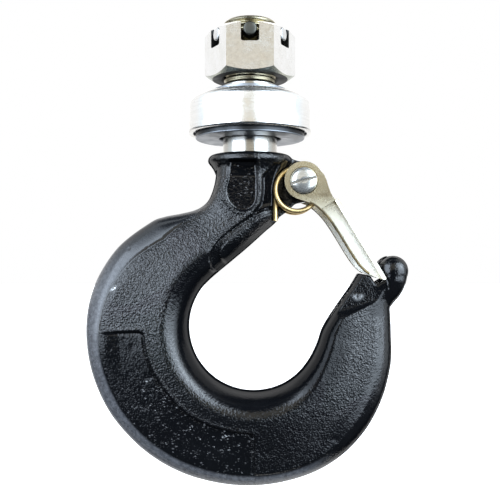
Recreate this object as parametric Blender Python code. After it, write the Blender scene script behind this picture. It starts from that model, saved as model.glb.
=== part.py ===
# Swivel hook with a thrust bearing, a castle nut and a sprung safety latch.
# Metres, +Z up. The origin is the centre of the shank's top face, on the swivel axis.
# The hook lies in the XZ plane, its mouth towards +X. Front is -Y, back is +Y.
# All dimensions below are in millimetres; add_mesh() turns them into metres.
import math

import bmesh
import bpy
from mathutils import Vector

MM = 0.001
SHARP_ANGLE = math.radians(32)
CUT_Y = 20.0            # reach of the cutters that pass right through, either side of Y = 0

# Key: material name, base colour, roughness, metallic
MATERIALS = {
    "paint": ("gloss_black_paint", (0.012, 0.013, 0.016), 0.25, 0.0),
    "nut": ("plated_steel", (0.72, 0.69, 0.62), 0.28, 1.0),
    "pin": ("dark_pin_steel", (0.13, 0.14, 0.15), 0.4, 1.0),
    "cover": ("polished_cover", (0.82, 0.80, 0.78), 0.12, 1.0),
    "race": ("ground_race_steel", (0.60, 0.64, 0.68), 0.2, 1.0),
    "cage": ("pressed_brass_cage", (0.70, 0.52, 0.24), 0.35, 1.0),
    "ball": ("bearing_ball_steel", (0.75, 0.76, 0.78), 0.08, 1.0),
    "latch": ("plated_latch_sheet", (0.78, 0.73, 0.60), 0.3, 1.0),
    "spring": ("brass_spring_wire", (0.80, 0.58, 0.22), 0.25, 1.0),
    "screw": ("bright_pivot_screw", (0.80, 0.80, 0.80), 0.12, 1.0),
}

# ---- shank, castle nut and lock pins ----
SHANK_R = 12.5
THREAD_R, THREAD_END_Z, THREAD_CHAMFER = 12.0, -28.0, 1.2     # M24 end
COLLAR_TOP_Z, COLLAR_R, COLLAR_THICK = -61.2, 19.3, 5.0
NECK_R, STEM_END_Z = 16.2, -80.0

NUT_TOP_Z, NUT_BOTTOM_Z = -4.6, -26.2
NUT_ACROSS_FLATS, NUT_BORE_R = 36.0, 12.3
NUT_CHAMFER_ANGLE = math.radians(30)
SLOT_WIDTH, SLOT_FLOOR_Z, SLOT_COUNT = 8.0, -13.4, 3          # each slot crosses the whole nut
SLOT_CUT_TOP_Z, SLOT_CUT_REACH = 5.0, 30.0

PIN_R, PIN_Z, PIN_COUNT = 3.0, -7.75, 6
PIN_INNER, PIN_OUTER, PIN_BEVEL = 8.4, 17.9, 0.4              # radial extent
PIN_SIDES = 16
PIN_HOLE_EXTRA_DEPTH, PIN_HOLE_CLEARANCE, PIN_HOLE_OUTER = 0.4, 0.3, 20.0

# ---- bearing ----
COVER_R, COVER_WALL, COVER_CORNER = 28.5, 1.4, 4.5
COVER_TOP_Z, COVER_RIM_Z, LIP_R = -34.5, -51.5, 26.1
COVER_GAP = 0.3                              # between the cover and the upper race
BOSS_R, BOSS_TOP_Z = 17.5, -31.5
RACE_R, RACE_SHOULDER_R = 25.0, 26.6
UPPER_BORE_R, LOWER_BORE_R = 12.8, 14.0
UPPER_RACE_UNDER_Z = -43.1
LOWER_RACE_TOP_Z, LOWER_RACE_BOTTOM_Z, LOWER_SHOULDER_Z = -49.3, -53.8, -50.15
BALL_R, BALL_PITCH_R, BALL_Z, BALL_COUNT = 4.0, 19.5, -46.2, 12
GROOVE_R, GROOVE_STEPS = 4.3, 6
CAGE_IN_R, CAGE_OUT_R, CAGE_THICK = 14.6, 24.4, 2.6
CAGE_CLEARANCE, CAGE_CUT_REACH, CAGE_POCKET_SIDES = 0.45, 6.0, 12

# ---- latch, pivot and spring ----
PIVOT_X, PIVOT_Z = 24.0, -73.4               # the latch's axis, parallel to Y
EAR_HALF, EAR_R = 3.75, 9.2
PIVOT_R, EAR_BORE_R = 3.3, 3.6
LATCH_SLOPE = math.radians(-58.6)
LATCH_HALF, LATCH_SHEET = 10.2, 1.5
LATCH_WEB_N = 9.1                            # web's outer face, measured from the pivot
LATCH_WEB_START, LATCH_WEB_END = 13.5, 45.3
LATCH_ROOM_REACH = 14.0                      # the channel cutter's reach past the latch's edges
EYE_R, EYE_HOLE_R = 8.6, 6.3

HEAD_R, HEAD_FACE_Y, HEAD_UNDER_Y = 6.0, 12.5, 8.95           # screw head and pivot nut
PIVOT_NUT_BORE_R = 2.8
DRIVE_ANGLE, DRIVE_FLOOR_Y, DRIVE_CUT_Y = 15, 11.2, 14.0      # screwdriver slots
DRIVE_HALF_LENGTH, DRIVE_HALF_WIDTH = 9.0, 0.8

COIL_X, COIL_Z, COIL_R, WIRE_R = 21.0, -77.3, 9.6, 1.1
COIL_Y_IN, COIL_Y_OUT, COIL_STEPS = 5.0, 7.3, 30
FIXED_LEG_Z = (-91.2, -84.0)                 # end of the fixed leg, and a point along it
BRIDGE_ALONG, BRIDGE_NORMAL = 25.0, 6.45     # the spring's bridge, in latch coordinates
BRIDGE_BEND_R, BRIDGE_BEND_STEPS = 2.4, 4
WIRE_SIDES = 8

# ---- hook body ----
BOWL_X, BOWL_Z = 1.7, -139.7                 # the bowl's centre
NOSE_X, NOSE_Z, NOSE_R, NOSE_HALF = 65.3, -113.9, 6.5, 10.2
NOSE_EDGE_R = 2.6
NOSE_EDGE_ANGLES = (0.0, 0.4, 0.8, 1.2, math.pi / 2)
POCKET_HALF = 8.1                            # half thickness left between the two latch pockets
LATCH_STOP_N = LATCH_WEB_N + 0.35            # the nose flat, just outside the latch's web
NOSE_FLAT_DEPTH = 6.0
COIL_SPACE_R, COIL_SPACE_Y, COIL_SPACE_BOTTOM_Z = 11.2, 9.0, -92.4
STATION_STEPS = 2                            # body rings per gap between stations

# Body stations from the neck into the bowl.
# (inner x, inner z, outer x, outer z, half thickness, roundness)
NECK_STATIONS = [
    (15.4, -66.0, -15.6, -66.0, 15.0, 1.0),
    (15.2, -74.0, -16.3, -74.0, 15.0, 1.0),
    (14.6, -82.0, -18.2, -80.4, 15.0, 0.85),
    (12.9, -90.2, -20.9, -83.8, 15.2, 0.6),
    (6.4, -96.4, -25.2, -86.2, 15.4, 0.35),
    (-1.0, -103.2, -32.0, -87.8, 15.6, 0.15),
    (-8.6, -109.6, -39.4, -89.2, 16.0, 0.05),
]
# Round the bowl: (degrees about the bowl's centre, inner radius, outer radius, half thickness)
BOWL_STATIONS = [
    (135, 29.7, 67.5, 16.3), (150, 29.7, 72.3, 16.5), (165, 29.7, 75.5, 16.5),
    (180, 29.7, 76.8, 16.5), (195, 29.7, 77.0, 16.5), (210, 29.7, 76.6, 16.5),
    (225, 29.7, 75.7, 16.5), (240, 29.7, 74.6, 16.5), (255, 29.7, 73.3, 16.5),
    (270, 29.7, 72.5, 16.4), (285, 29.7, 72.1, 16.1), (300, 29.7, 71.6, 15.6),
    (315, 29.7, 69.9, 15.0), (330, 29.7, 67.5, 14.3), (345, 30.2, 65.1, 13.6),
]
# Up to the tip, with the same columns as the neck.
TIP_STATIONS = [
    (33.0, -141.2, 64.7, -142.4, 13.0, 0.0),
    (36.2, -135.6, 64.3, -134.0, 12.5, 0.0),
    (39.6, -130.4, 64.2, -128.6, 12.0, 0.05),
    (43.0, -125.4, 65.7, -125.0, 11.4, 0.1),
    (46.3, -120.6, 68.0, -121.9, 10.9, 0.15),
    (49.6, -115.0, 69.2, -119.4, 10.5, 0.2),
]

# The body's cross-section. Shares are of the width or of the half thickness.
RIDGE_DEPTH, RIDGE_MAX_SHARE = 10.0, 0.34    # from the inner edge to the thickest place
BACK_DEPTH, WIDE_SECTION = 9.0, 32.0         # bevelled back's depth on sections wider than this
NARROW_CREASE_SHARE = 0.72                   # where the back starts on narrower sections
CREASE_HEIGHT = 0.66                         # share of the half thickness at the crease
BACK_START = math.radians(28)
INNER_STEPS, FLAT_STEPS, BACK_STEPS = 4, 2, 4

# Ear outline (x, z): above the arc round the pivot, then below it.
EAR_UPPER = [(4.0, -62.0), (13.0, -61.5), (17.5, -62.4), (21.0, -64.0)]
EAR_LOWER = [(20.6, -83.6), (17.0, -86.8), (12.4, -90.0), (4.0, -92.0)]

# Latch outline after the eye: (along the latch, outwards from the pivot).
LATCH_OUTLINE = [
    (8.2, -4.2), (11.2, -1.9), (15.0, -0.5), (20.0, 0.5), (27.0, 0.9), (38.0, 0.9),
    (44.5, 1.2), (48.6, 2.1), (52.0, 3.9), (54.8, 5.9), (56.4, 7.6), (56.7, 8.8),
    (56.3, LATCH_WEB_N), (14.0, LATCH_WEB_N), (4.0, 8.8),
]


# ---- general helpers ----
def clear_scene():
    for obj in list(bpy.data.objects):
        bpy.data.objects.remove(obj, do_unlink=True)
    for mesh in list(bpy.data.meshes):
        bpy.data.meshes.remove(mesh)


def make_material(name, colour, roughness, metallic):
    mat = bpy.data.materials.new(name)
    mat.use_nodes = True
    shader = mat.node_tree.nodes["Principled BSDF"]
    shader.inputs["Base Color"].default_value = (*colour, 1)
    shader.inputs["Roughness"].default_value = roughness
    shader.inputs["Metallic"].default_value = metallic
    mat.diffuse_color = (*colour, 1)
    return mat


def add_mesh(name, verts, faces, mat=None, origin=(0, 0, 0)):
    """A mesh object from points in millimetres, with its origin at the given point."""
    location = Vector(origin) * MM
    mesh = bpy.data.meshes.new(name)
    mesh.from_pydata([Vector(v) * MM - location for v in verts], [], faces)
    bm = bmesh.new()
    bm.from_mesh(mesh)
    bmesh.ops.recalc_face_normals(bm, faces=bm.faces)
    bm.to_mesh(mesh)
    bm.free()
    mesh.shade_smooth()
    mesh.set_sharp_from_angle(angle=SHARP_ANGLE)
    obj = bpy.data.objects.new(name, mesh)
    obj.location = location
    if mat:
        mesh.materials.append(mat)
    bpy.context.scene.collection.objects.link(obj)
    return obj


def skin_faces(ring_count, sides, first=0):
    """Side quads and two end caps over consecutive rings of points."""
    faces = []
    for row in range(ring_count - 1):
        low = first + row * sides
        high = low + sides
        for k in range(sides):
            after = (k + 1) % sides
            faces.append((low + k, low + after, high + after, high + k))
    last = first + (ring_count - 1) * sides
    return faces + [tuple(range(first, first + sides)),
                    tuple(reversed(range(last, last + sides)))]


def skin(name, rings, mat=None, origin=(0, 0, 0)):
    """A capped solid through rings with equal numbers of points."""
    verts = [point for ring in rings for point in ring]
    return add_mesh(name, verts, skin_faces(len(rings), len(rings[0])), mat, origin)


def turned(name, profile, segments, mat=None, centre=(0, 0), axis="Z"):
    """A ring or disc turned about Z or Y from a closed profile of (radius, height) points."""
    verts, faces, rows = [], [], []
    for radius, height in profile:
        row = []
        count = 1 if radius < 1e-6 else segments
        for k in range(count):
            angle = 2 * math.pi * k / segments
            across = centre[0] + radius * math.cos(angle)
            up = centre[1] + radius * math.sin(angle)
            row.append(len(verts))
            verts.append((across, up, height) if axis == "Z" else (across, height, up))
        rows.append(row)
    for row, following in zip(rows, rows[1:] + rows[:1]):
        if len(row) == 1 and len(following) == 1:
            continue
        for k in range(segments):
            after = (k + 1) % segments
            if len(row) == 1:
                faces.append((row[0], following[after], following[k]))
            elif len(following) == 1:
                faces.append((row[k], row[after], following[0]))
            else:
                faces.append((row[k], row[after], following[after], following[k]))
    origin = (centre[0], centre[1], 0) if axis == "Z" else (centre[0], 0, centre[1])
    return add_mesh(name, verts, faces, mat, origin)


def plate(name, outline, y0, y1, mat=None, origin=(0, 0, 0)):
    """A plate in the XZ plane, from y0 to y1."""
    return skin(name, [[(x, y, z) for x, z in outline] for y in (y0, y1)], mat, origin)


def cut(obj, tool, operation="DIFFERENCE"):
    mod = obj.modifiers.new(operation.lower() + "_" + tool.name, "BOOLEAN")
    mod.object = tool
    mod.operation = operation
    mod.solver = "EXACT"
    tool.hide_render = True
    tool.display_type = "WIRE"


def cut_both_sides(obj, name, outline, y_in, y_out):
    """Cut the same outline from the front and from the back."""
    cut(obj, plate(name + "_front", outline, -y_out, -y_in))
    cut(obj, plate(name + "_back", outline, y_in, y_out))


def cut_pivot_bore(obj, name, radius, segments):
    cut(obj, turned(name, [(0, -CUT_Y), (radius, -CUT_Y), (radius, CUT_Y), (0, CUT_Y)],
                    segments, centre=(PIVOT_X, PIVOT_Z), axis="Y"))


def arc(centre_x, centre_z, radius, start, end, steps):
    """Points along an arc; the angles are in degrees."""
    angles = [math.radians(start + (end - start) * k / steps) for k in range(steps + 1)]
    return [(centre_x + radius * math.cos(a), centre_z + radius * math.sin(a)) for a in angles]


def rotated(points, degrees):
    cosine, sine = math.cos(math.radians(degrees)), math.sin(math.radians(degrees))
    return [(u * cosine - v * sine, u * sine + v * cosine) for u, v in points]


def latch_point(along, normal):
    """(x, z) of a point measured from the pivot, along the latch and outwards from it."""
    cosine, sine = math.cos(LATCH_SLOPE), math.sin(LATCH_SLOPE)
    return (PIVOT_X + along * cosine - normal * sine, PIVOT_Z + along * sine + normal * cosine)


def radial_rod(name, degrees, inner, outer, radius, mat=None, bevel=0.0):
    """A rod at the lock pins' height, pointing out from the swivel axis."""
    angle = math.radians(degrees)
    out = Vector((math.cos(angle), math.sin(angle), 0))
    side = Vector((-math.sin(angle), math.cos(angle), 0))
    rows = [(inner, radius), (outer, radius)]
    if bevel:
        rows = [(inner, radius - bevel), (inner + bevel, radius),
                (outer - bevel, radius), (outer, radius - bevel)]
    turns = [2 * math.pi * k / PIN_SIDES for k in range(PIN_SIDES)]
    rings = [[out * reach + side * (ring_r * math.cos(t))
              + Vector((0, 0, PIN_Z + ring_r * math.sin(t))) for t in turns]
             for reach, ring_r in rows]
    origin = out * ((inner + outer) / 2) + Vector((0, 0, PIN_Z))
    return skin(name, rings, mat, origin)


def pin_angle(index):
    return 360 / PIN_COUNT * index - 90


# ---- the hook's body ----
def body_stations():
    """All stations from the neck to the tip, with the columns of NECK_STATIONS."""
    bowl = []
    for degrees, inner, outer, half in BOWL_STATIONS:
        cosine, sine = math.cos(math.radians(degrees)), math.sin(math.radians(degrees))
        bowl.append((BOWL_X + inner * cosine, BOWL_Z + inner * sine,
                     BOWL_X + outer * cosine, BOWL_Z + outer * sine, half, 0.0))
    return NECK_STATIONS + bowl + TIP_STATIONS


def smooth_rows(rows, steps):
    """Catmull-Rom between the stations."""
    out = []
    for k in range(len(rows) - 1):
        near = [rows[max(k - 1, 0)], rows[k], rows[k + 1], rows[min(k + 2, len(rows) - 1)]]
        for i in range(steps):
            t = i / steps
            out.append(tuple(
                0.5 * (2 * b + (c - a) * t + (2 * a - 5 * b + 4 * c - d) * t * t
                       + (3 * b - a - 3 * c + d) * t ** 3)
                for a, b, c, d in zip(*near)
            ))
    out.append(rows[-1])
    return out


def half_section(width, half, roundness):
    """Half of a body section: a round inner side, a sloping flat and a bevelled round back.
    Points are (distance from the inner edge, height from the middle plane).
    Roundness blends the section into an ellipse."""
    ridge = min(RIDGE_DEPTH / width, RIDGE_MAX_SHARE)
    crease = 1.0 - BACK_DEPTH / width if width > WIDE_SECTION else NARROW_CREASE_SHARE
    points = []
    for k in range(INNER_STEPS):
        t = math.pi / 2 * k / INNER_STEPS
        points.append((ridge * (1 - math.cos(t)), math.sin(t)))
    for k in range(FLAT_STEPS):
        t = k / FLAT_STEPS
        points.append((ridge + (crease - ridge) * t, 1 + (CREASE_HEIGHT - 1) * t))
    start_sine = math.sin(BACK_START)
    for k in range(BACK_STEPS + 1):
        t = BACK_START + (math.pi / 2 - BACK_START) * k / BACK_STEPS
        points.append((crease + (1 - crease) * (math.sin(t) - start_sine) / (1 - start_sine),
                       CREASE_HEIGHT * math.cos(t) / math.cos(BACK_START)))
    section = []
    for k, (u, v) in enumerate(points):
        turn = math.pi * k / (len(points) - 1)
        round_u, round_v = 0.5 - 0.5 * math.cos(turn), math.sin(turn)
        section.append((width * (u + (round_u - u) * roundness),
                        half * (v + (round_v - v) * roundness)))
    section[-1] = (width, 0.0)               # exactly on the middle plane
    return section


def loft_body(name, mat):
    rings = []
    rows = smooth_rows(body_stations(), STATION_STEPS)
    for inner_x, inner_z, outer_x, outer_z, half, roundness in rows:
        across = Vector((outer_x - inner_x, 0, outer_z - inner_z))
        width = across.length
        across.normalize()
        front = half_section(width, half, roundness)
        loop = [(u, -v) for u, v in front] + front[-2:0:-1]
        rings.append([(inner_x + across.x * u, y, inner_z + across.z * u) for u, y in loop])
    return skin(name, rings, mat)


def make_stem():
    """Threaded end, shank, collar and round neck."""
    top, radius = COLLAR_TOP_Z, COLLAR_R
    under = top - COLLAR_THICK
    return turned("stem", [
        (0, 0), (THREAD_R - THREAD_CHAMFER, 0), (THREAD_R, -THREAD_CHAMFER),
        (THREAD_R, THREAD_END_Z), (SHANK_R, THREAD_END_Z - 0.9), (SHANK_R, top),
        (radius - 1.6, top), (radius - 0.5, top - 0.6), (radius, top - 2.2),
        (radius - 0.5, top - 3.8), (radius - 2.2, under - 0.4),
        (NECK_R + 0.6, under - 1.8), (NECK_R, under - 4.0),
        (NECK_R - 0.4, -74.0), (NECK_R - 2.0, STEM_END_Z), (0, STEM_END_Z),
    ], 48)


def make_ear():
    """The lug that carries the latch's pivot."""
    outline = EAR_UPPER + arc(PIVOT_X, PIVOT_Z, EAR_R, 82, -88, 12) + EAR_LOWER
    return plate("ear", outline, -EAR_HALF, EAR_HALF)


def make_nose():
    """A disc with rounded edges across the hook's tip."""
    edge = [(NOSE_R - NOSE_EDGE_R + NOSE_EDGE_R * math.sin(t),
             NOSE_HALF - NOSE_EDGE_R + NOSE_EDGE_R * math.cos(t)) for t in NOSE_EDGE_ANGLES]
    profile = [(0, -NOSE_HALF)] + [(r, -y) for r, y in edge] + edge[::-1] + [(0, NOSE_HALF)]
    return turned("nose", profile, 24, centre=(NOSE_X, NOSE_Z), axis="Y")


def make_hook(mat):
    hook = loft_body("hook_shank", mat)
    cut(hook, make_stem(), "UNION")
    cut(hook, make_ear(), "UNION")
    cut(hook, make_nose(), "UNION")

    # Side pockets that the latch's flanges close into, and the flat that they close against.
    pocket = [(28.0, -136.9), (37.3, -133.8), (59.4, -126.4), (62.0, -124.2), (63.0, -121.2),
              latch_point(57.6, LATCH_STOP_N), latch_point(40.0, LATCH_STOP_N),
              (30.0, -100.0), (22.0, -120.0)]
    cut_both_sides(hook, "pocket", pocket, POCKET_HALF, CUT_Y)
    flat_under = LATCH_STOP_N - NOSE_FLAT_DEPTH
    flat = [latch_point(along, normal) for along, normal in (
        (40.0, LATCH_STOP_N), (57.0, LATCH_STOP_N), (57.0, flat_under), (40.0, flat_under))]
    cut(hook, plate("nose_flat", flat, -CUT_Y, CUT_Y))

    # Spaces for the spring's coils and its fixed legs beside the ear.
    space_left = COIL_X - COIL_SPACE_R
    coil_space = [(space_left, COIL_Z)] + arc(COIL_X, COIL_Z, COIL_SPACE_R, 174, -60, 20)
    coil_space += [(20.0, COIL_SPACE_BOTTOM_Z), (space_left, COIL_SPACE_BOTTOM_Z)]
    cut_both_sides(hook, "coil_space", coil_space, EAR_HALF, COIL_SPACE_Y)
    cut_pivot_bore(hook, "ear_bore", EAR_BORE_R, 24)

    # Blind radial holes for the lock pins.
    for k in range(PIN_COUNT):
        cut(hook, radial_rod(f"pin_hole_{k + 1}", pin_angle(k), PIN_INNER - PIN_HOLE_EXTRA_DEPTH,
                             PIN_HOLE_OUTER, PIN_R + PIN_HOLE_CLEARANCE))


# ---- castle nut and lock pins ----
def make_castle_nut(mat):
    half = NUT_ACROSS_FLATS / 2
    corner = half / math.cos(math.pi / 6)
    hexagon = [(corner * math.cos(math.radians(60 * k)), corner * math.sin(math.radians(60 * k)))
               for k in range(6)]
    nut = skin("castle_nut", [[(x, y, z) for x, y in hexagon]
                              for z in (NUT_BOTTOM_Z, NUT_TOP_Z)], mat)

    # The chamfer tool is a barrel that trims the corners at both ends.
    drop = (corner - half) * math.tan(NUT_CHAMFER_ANGLE)
    barrel_r = corner + 0.3
    cut(nut, turned("nut_chamfer", [
        (0, NUT_TOP_Z + 1), (half - 1.7, NUT_TOP_Z + 1), (half, NUT_TOP_Z),
        (barrel_r, NUT_TOP_Z - drop), (barrel_r, NUT_BOTTOM_Z + drop),
        (half, NUT_BOTTOM_Z), (half - 1.7, NUT_BOTTOM_Z - 1), (0, NUT_BOTTOM_Z - 1),
    ], 48), "INTERSECT")
    cut(nut, turned("nut_bore", [(0, 10), (NUT_BORE_R, 10), (NUT_BORE_R, -40), (0, -40)], 48))

    reach, side = SLOT_CUT_REACH, SLOT_WIDTH / 2
    for k in range(SLOT_COUNT):
        box = rotated([(reach, -side), (reach, side), (-reach, side), (-reach, -side)],
                      180 / SLOT_COUNT * k + 90)
        cut(nut, skin(f"slot_{k + 1}", [[(x, y, z) for x, y in box]
                                        for z in (SLOT_FLOOR_Z, SLOT_CUT_TOP_Z)]))


def make_lock_pins(mat):
    for k in range(PIN_COUNT):
        radial_rod(f"lock_pin_{k + 1}", pin_angle(k), PIN_INNER, PIN_OUTER, PIN_R, mat, PIN_BEVEL)


# ---- the thrust bearing ----
def groove(race_z):
    """The ball groove's arc across a race face, as (radius, height), from the inside out."""
    rise = race_z - BALL_Z
    reach = math.acos(abs(rise) / GROOVE_R)
    sign = math.copysign(1, rise)
    angles = [-reach + 2 * reach * k / GROOVE_STEPS for k in range(GROOVE_STEPS + 1)]
    return [(BALL_PITCH_R + GROOVE_R * math.sin(t), BALL_Z + sign * GROOVE_R * math.cos(t))
            for t in angles]


def ball_places():
    """(angle, x, y) of each ball."""
    angles = [2 * math.pi * k / BALL_COUNT for k in range(BALL_COUNT)]
    return [(a, BALL_PITCH_R * math.cos(a), BALL_PITCH_R * math.sin(a)) for a in angles]


def make_cover(mat):
    """A pressed cap with a rounded shoulder and a lip turned in at its rim."""
    corner_r, corner_z = COVER_R - COVER_CORNER, COVER_TOP_Z - COVER_CORNER
    bore = BOSS_R + COVER_GAP
    profile = [(bore, COVER_TOP_Z)] + arc(corner_r, corner_z, COVER_CORNER, 90, 0, 5)
    profile += [(COVER_R, COVER_RIM_Z + 0.7), (COVER_R - 0.7, COVER_RIM_Z), (LIP_R, COVER_RIM_Z),
                (LIP_R, COVER_RIM_Z + 0.9), (COVER_R - COVER_WALL, COVER_RIM_Z + 1.3)]
    profile += arc(corner_r, corner_z, COVER_CORNER - COVER_WALL, 0, 90, 5)
    turned("bearing_cover", profile + [(bore, COVER_TOP_Z - COVER_WALL)], 48, mat)


def make_upper_race(mat):
    shoulder_z = COVER_TOP_Z - COVER_WALL - COVER_GAP
    turned("upper_race", [
        (UPPER_BORE_R, BOSS_TOP_Z), (BOSS_R - 0.8, BOSS_TOP_Z), (BOSS_R, BOSS_TOP_Z - 0.8),
        (BOSS_R, shoulder_z), (RACE_R - 2.2, shoulder_z),
        (RACE_R, -38.6), (RACE_R, UPPER_RACE_UNDER_Z),
    ] + groove(UPPER_RACE_UNDER_Z)[::-1] + [(UPPER_BORE_R, UPPER_RACE_UNDER_Z)], 48, mat)


def make_lower_race(mat):
    bottom = LOWER_RACE_BOTTOM_Z
    turned("lower_race", [
        (LOWER_BORE_R + 0.8, bottom), (LOWER_BORE_R, bottom + 0.8),
        (LOWER_BORE_R, LOWER_RACE_TOP_Z),
    ] + groove(LOWER_RACE_TOP_Z) + [
        (RACE_SHOULDER_R, LOWER_RACE_TOP_Z), (RACE_SHOULDER_R, LOWER_SHOULDER_Z),
        (RACE_R, LOWER_SHOULDER_Z), (RACE_R, bottom + 0.6), (RACE_R - 0.6, bottom),
    ], 48, mat)


def make_cage(mat):
    under, top = BALL_Z - CAGE_THICK / 2, BALL_Z + CAGE_THICK / 2
    cage = turned("ball_cage", [(CAGE_IN_R, under), (CAGE_OUT_R, under),
                                (CAGE_OUT_R, top), (CAGE_IN_R, top)], 48, mat)
    # One tool holds a prism for every ball.
    verts, faces = [], []
    radius, sides = BALL_R + CAGE_CLEARANCE, CAGE_POCKET_SIDES
    for angle, x, y in ball_places():
        faces += skin_faces(2, sides, len(verts))
        turns = [angle + 2 * math.pi * (i + 0.5) / sides for i in range(sides)]
        for z in (BALL_Z - CAGE_CUT_REACH, BALL_Z + CAGE_CUT_REACH):
            verts += [(x + radius * math.cos(t), y + radius * math.sin(t), z) for t in turns]
    cut(cage, add_mesh("ball_pockets", verts, faces))


def make_balls(mat):
    for number, (_, x, y) in enumerate(ball_places(), 1):
        mesh = bpy.data.meshes.new(f"ball_{number:02d}")
        bm = bmesh.new()
        bmesh.ops.create_icosphere(bm, subdivisions=2, radius=BALL_R * MM)
        bm.to_mesh(mesh)
        bm.free()
        mesh.shade_smooth()
        mesh.materials.append(mat)
        ball = bpy.data.objects.new(f"ball_{number:02d}", mesh)
        ball.location = Vector((x, y, BALL_Z)) * MM
        bpy.context.scene.collection.objects.link(ball)


# ---- the latch, its spring and its pivot ----
def make_latch(mat):
    outline = arc(0, 0, EYE_R, 90, 308, 18) + LATCH_OUTLINE
    latch = plate("latch", [latch_point(*point) for point in outline],
                  -LATCH_HALF, LATCH_HALF, mat, (PIVOT_X, 0, PIVOT_Z))
    # Hollow the plate into two flanges, joined by a web over part of its length.
    web_inner, reach = LATCH_WEB_N - LATCH_SHEET, LATCH_ROOM_REACH
    room = [(-reach, -reach), (70, -reach), (70, reach), (LATCH_WEB_END, reach),
            (LATCH_WEB_END, web_inner), (LATCH_WEB_START, web_inner),
            (LATCH_WEB_START, reach), (-reach, reach)]
    room_half = LATCH_HALF - LATCH_SHEET
    cut(latch, plate("channel_room", [latch_point(*point) for point in room],
                     -room_half, room_half))
    cut_pivot_bore(latch, "eye_holes", EYE_HOLE_R, 32)


def spring_path():
    """The wire's centre line: fixed leg, front coil, leg along the latch, bridge under its web,
    and back."""
    left = COIL_X - COIL_R
    path = [Vector((left, -COIL_Y_IN, z)) for z in FIXED_LEG_Z]

    # The coil leaves at the tangent that runs to the bridge.
    bridge_x, bridge_z = latch_point(BRIDGE_ALONG, BRIDGE_NORMAL)
    reach = Vector((bridge_x - COIL_X, 0, bridge_z - COIL_Z))
    leave = math.atan2(reach.z, reach.x) + math.acos(COIL_R / reach.length)
    overlap = math.pi - leave
    sweep = overlap + 2 * math.pi
    for k in range(COIL_STEPS + 1):
        turn = sweep * k / COIL_STEPS
        # The wire steps outwards in Y only between the two overlapping stretches.
        t = min(max((turn - overlap) / (2 * math.pi - overlap), 0.0), 1.0)
        t = t * t * (3 - 2 * t)
        y = -(COIL_Y_IN + (COIL_Y_OUT - COIL_Y_IN) * t)
        angle = math.pi - turn
        path.append(Vector((COIL_X + COIL_R * math.cos(angle), y,
                            COIL_Z + COIL_R * math.sin(angle))))

    corner = Vector((bridge_x, -COIL_Y_OUT, bridge_z))
    run = (corner - path[-1]).normalized()
    for k in range(BRIDGE_BEND_STEPS + 1):
        t = math.pi / 2 * k / BRIDGE_BEND_STEPS
        path.append(corner - run * BRIDGE_BEND_R * (1 - math.sin(t))
                    + Vector((0, BRIDGE_BEND_R * (1 - math.cos(t)), 0)))
    return path + [Vector((p.x, -p.y, p.z)) for p in reversed(path)]


def make_spring(mat):
    path = spring_path()
    rings = []
    normal = Vector((0, 1, 0))
    turns = [2 * math.pi * (i + 0.5) / WIRE_SIDES for i in range(WIRE_SIDES)]
    for k, point in enumerate(path):
        tangent = (path[min(k + 1, len(path) - 1)] - path[max(k - 1, 0)]).normalized()
        # The normal is carried along the path, so that the wire doesn't twist.
        normal = (normal - tangent * normal.dot(tangent)).normalized()
        other = tangent.cross(normal)
        rings.append([point + (normal * math.cos(t) + other * math.sin(t)) * WIRE_R
                      for t in turns])
    skin("latch_spring", rings, mat, (PIVOT_X, 0, PIVOT_Z))


def make_pivot(mat):
    """The screw, with its head in front, and the matching round nut at the back."""
    centre = (PIVOT_X, PIVOT_Z)
    rim = [(HEAD_R - 1.3, HEAD_FACE_Y), (HEAD_R - 0.4, 12.1), (HEAD_R, 11.3),
           (HEAD_R, HEAD_UNDER_Y)]
    screw = turned("pivot_screw", [(0, -HEAD_FACE_Y)] + [(r, -y) for r, y in rim] + [
        (PIVOT_R, -HEAD_UNDER_Y), (PIVOT_R, 8.6), (2.5, 8.6), (2.5, 11.6), (2.1, 12.0),
        (0, 12.0)], 32, mat, centre=centre, axis="Y")
    nut = turned("pivot_nut", [(PIVOT_NUT_BORE_R, HEAD_UNDER_Y)] + rim[::-1]
                 + [(PIVOT_NUT_BORE_R, HEAD_FACE_Y)], 32, mat, centre=centre, axis="Y")

    length, width = DRIVE_HALF_LENGTH, DRIVE_HALF_WIDTH
    box = [(-length, -width), (length, -width), (length, width), (-length, width)]
    slot = [(PIVOT_X + x, PIVOT_Z + z) for x, z in rotated(box, DRIVE_ANGLE)]
    cut(screw, plate("screw_slot", slot, -DRIVE_CUT_Y, -DRIVE_FLOOR_Y))
    cut(nut, plate("nut_slot", slot, DRIVE_FLOOR_Y, DRIVE_CUT_Y))


def main():
    clear_scene()
    mats = {key: make_material(*settings) for key, settings in MATERIALS.items()}
    make_hook(mats["paint"])
    make_castle_nut(mats["nut"])
    make_lock_pins(mats["pin"])
    make_cover(mats["cover"])
    make_upper_race(mats["race"])
    make_lower_race(mats["race"])
    make_cage(mats["cage"])
    make_balls(mats["ball"])
    make_latch(mats["latch"])
    make_spring(mats["spring"])
    make_pivot(mats["screw"])


main()
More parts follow.
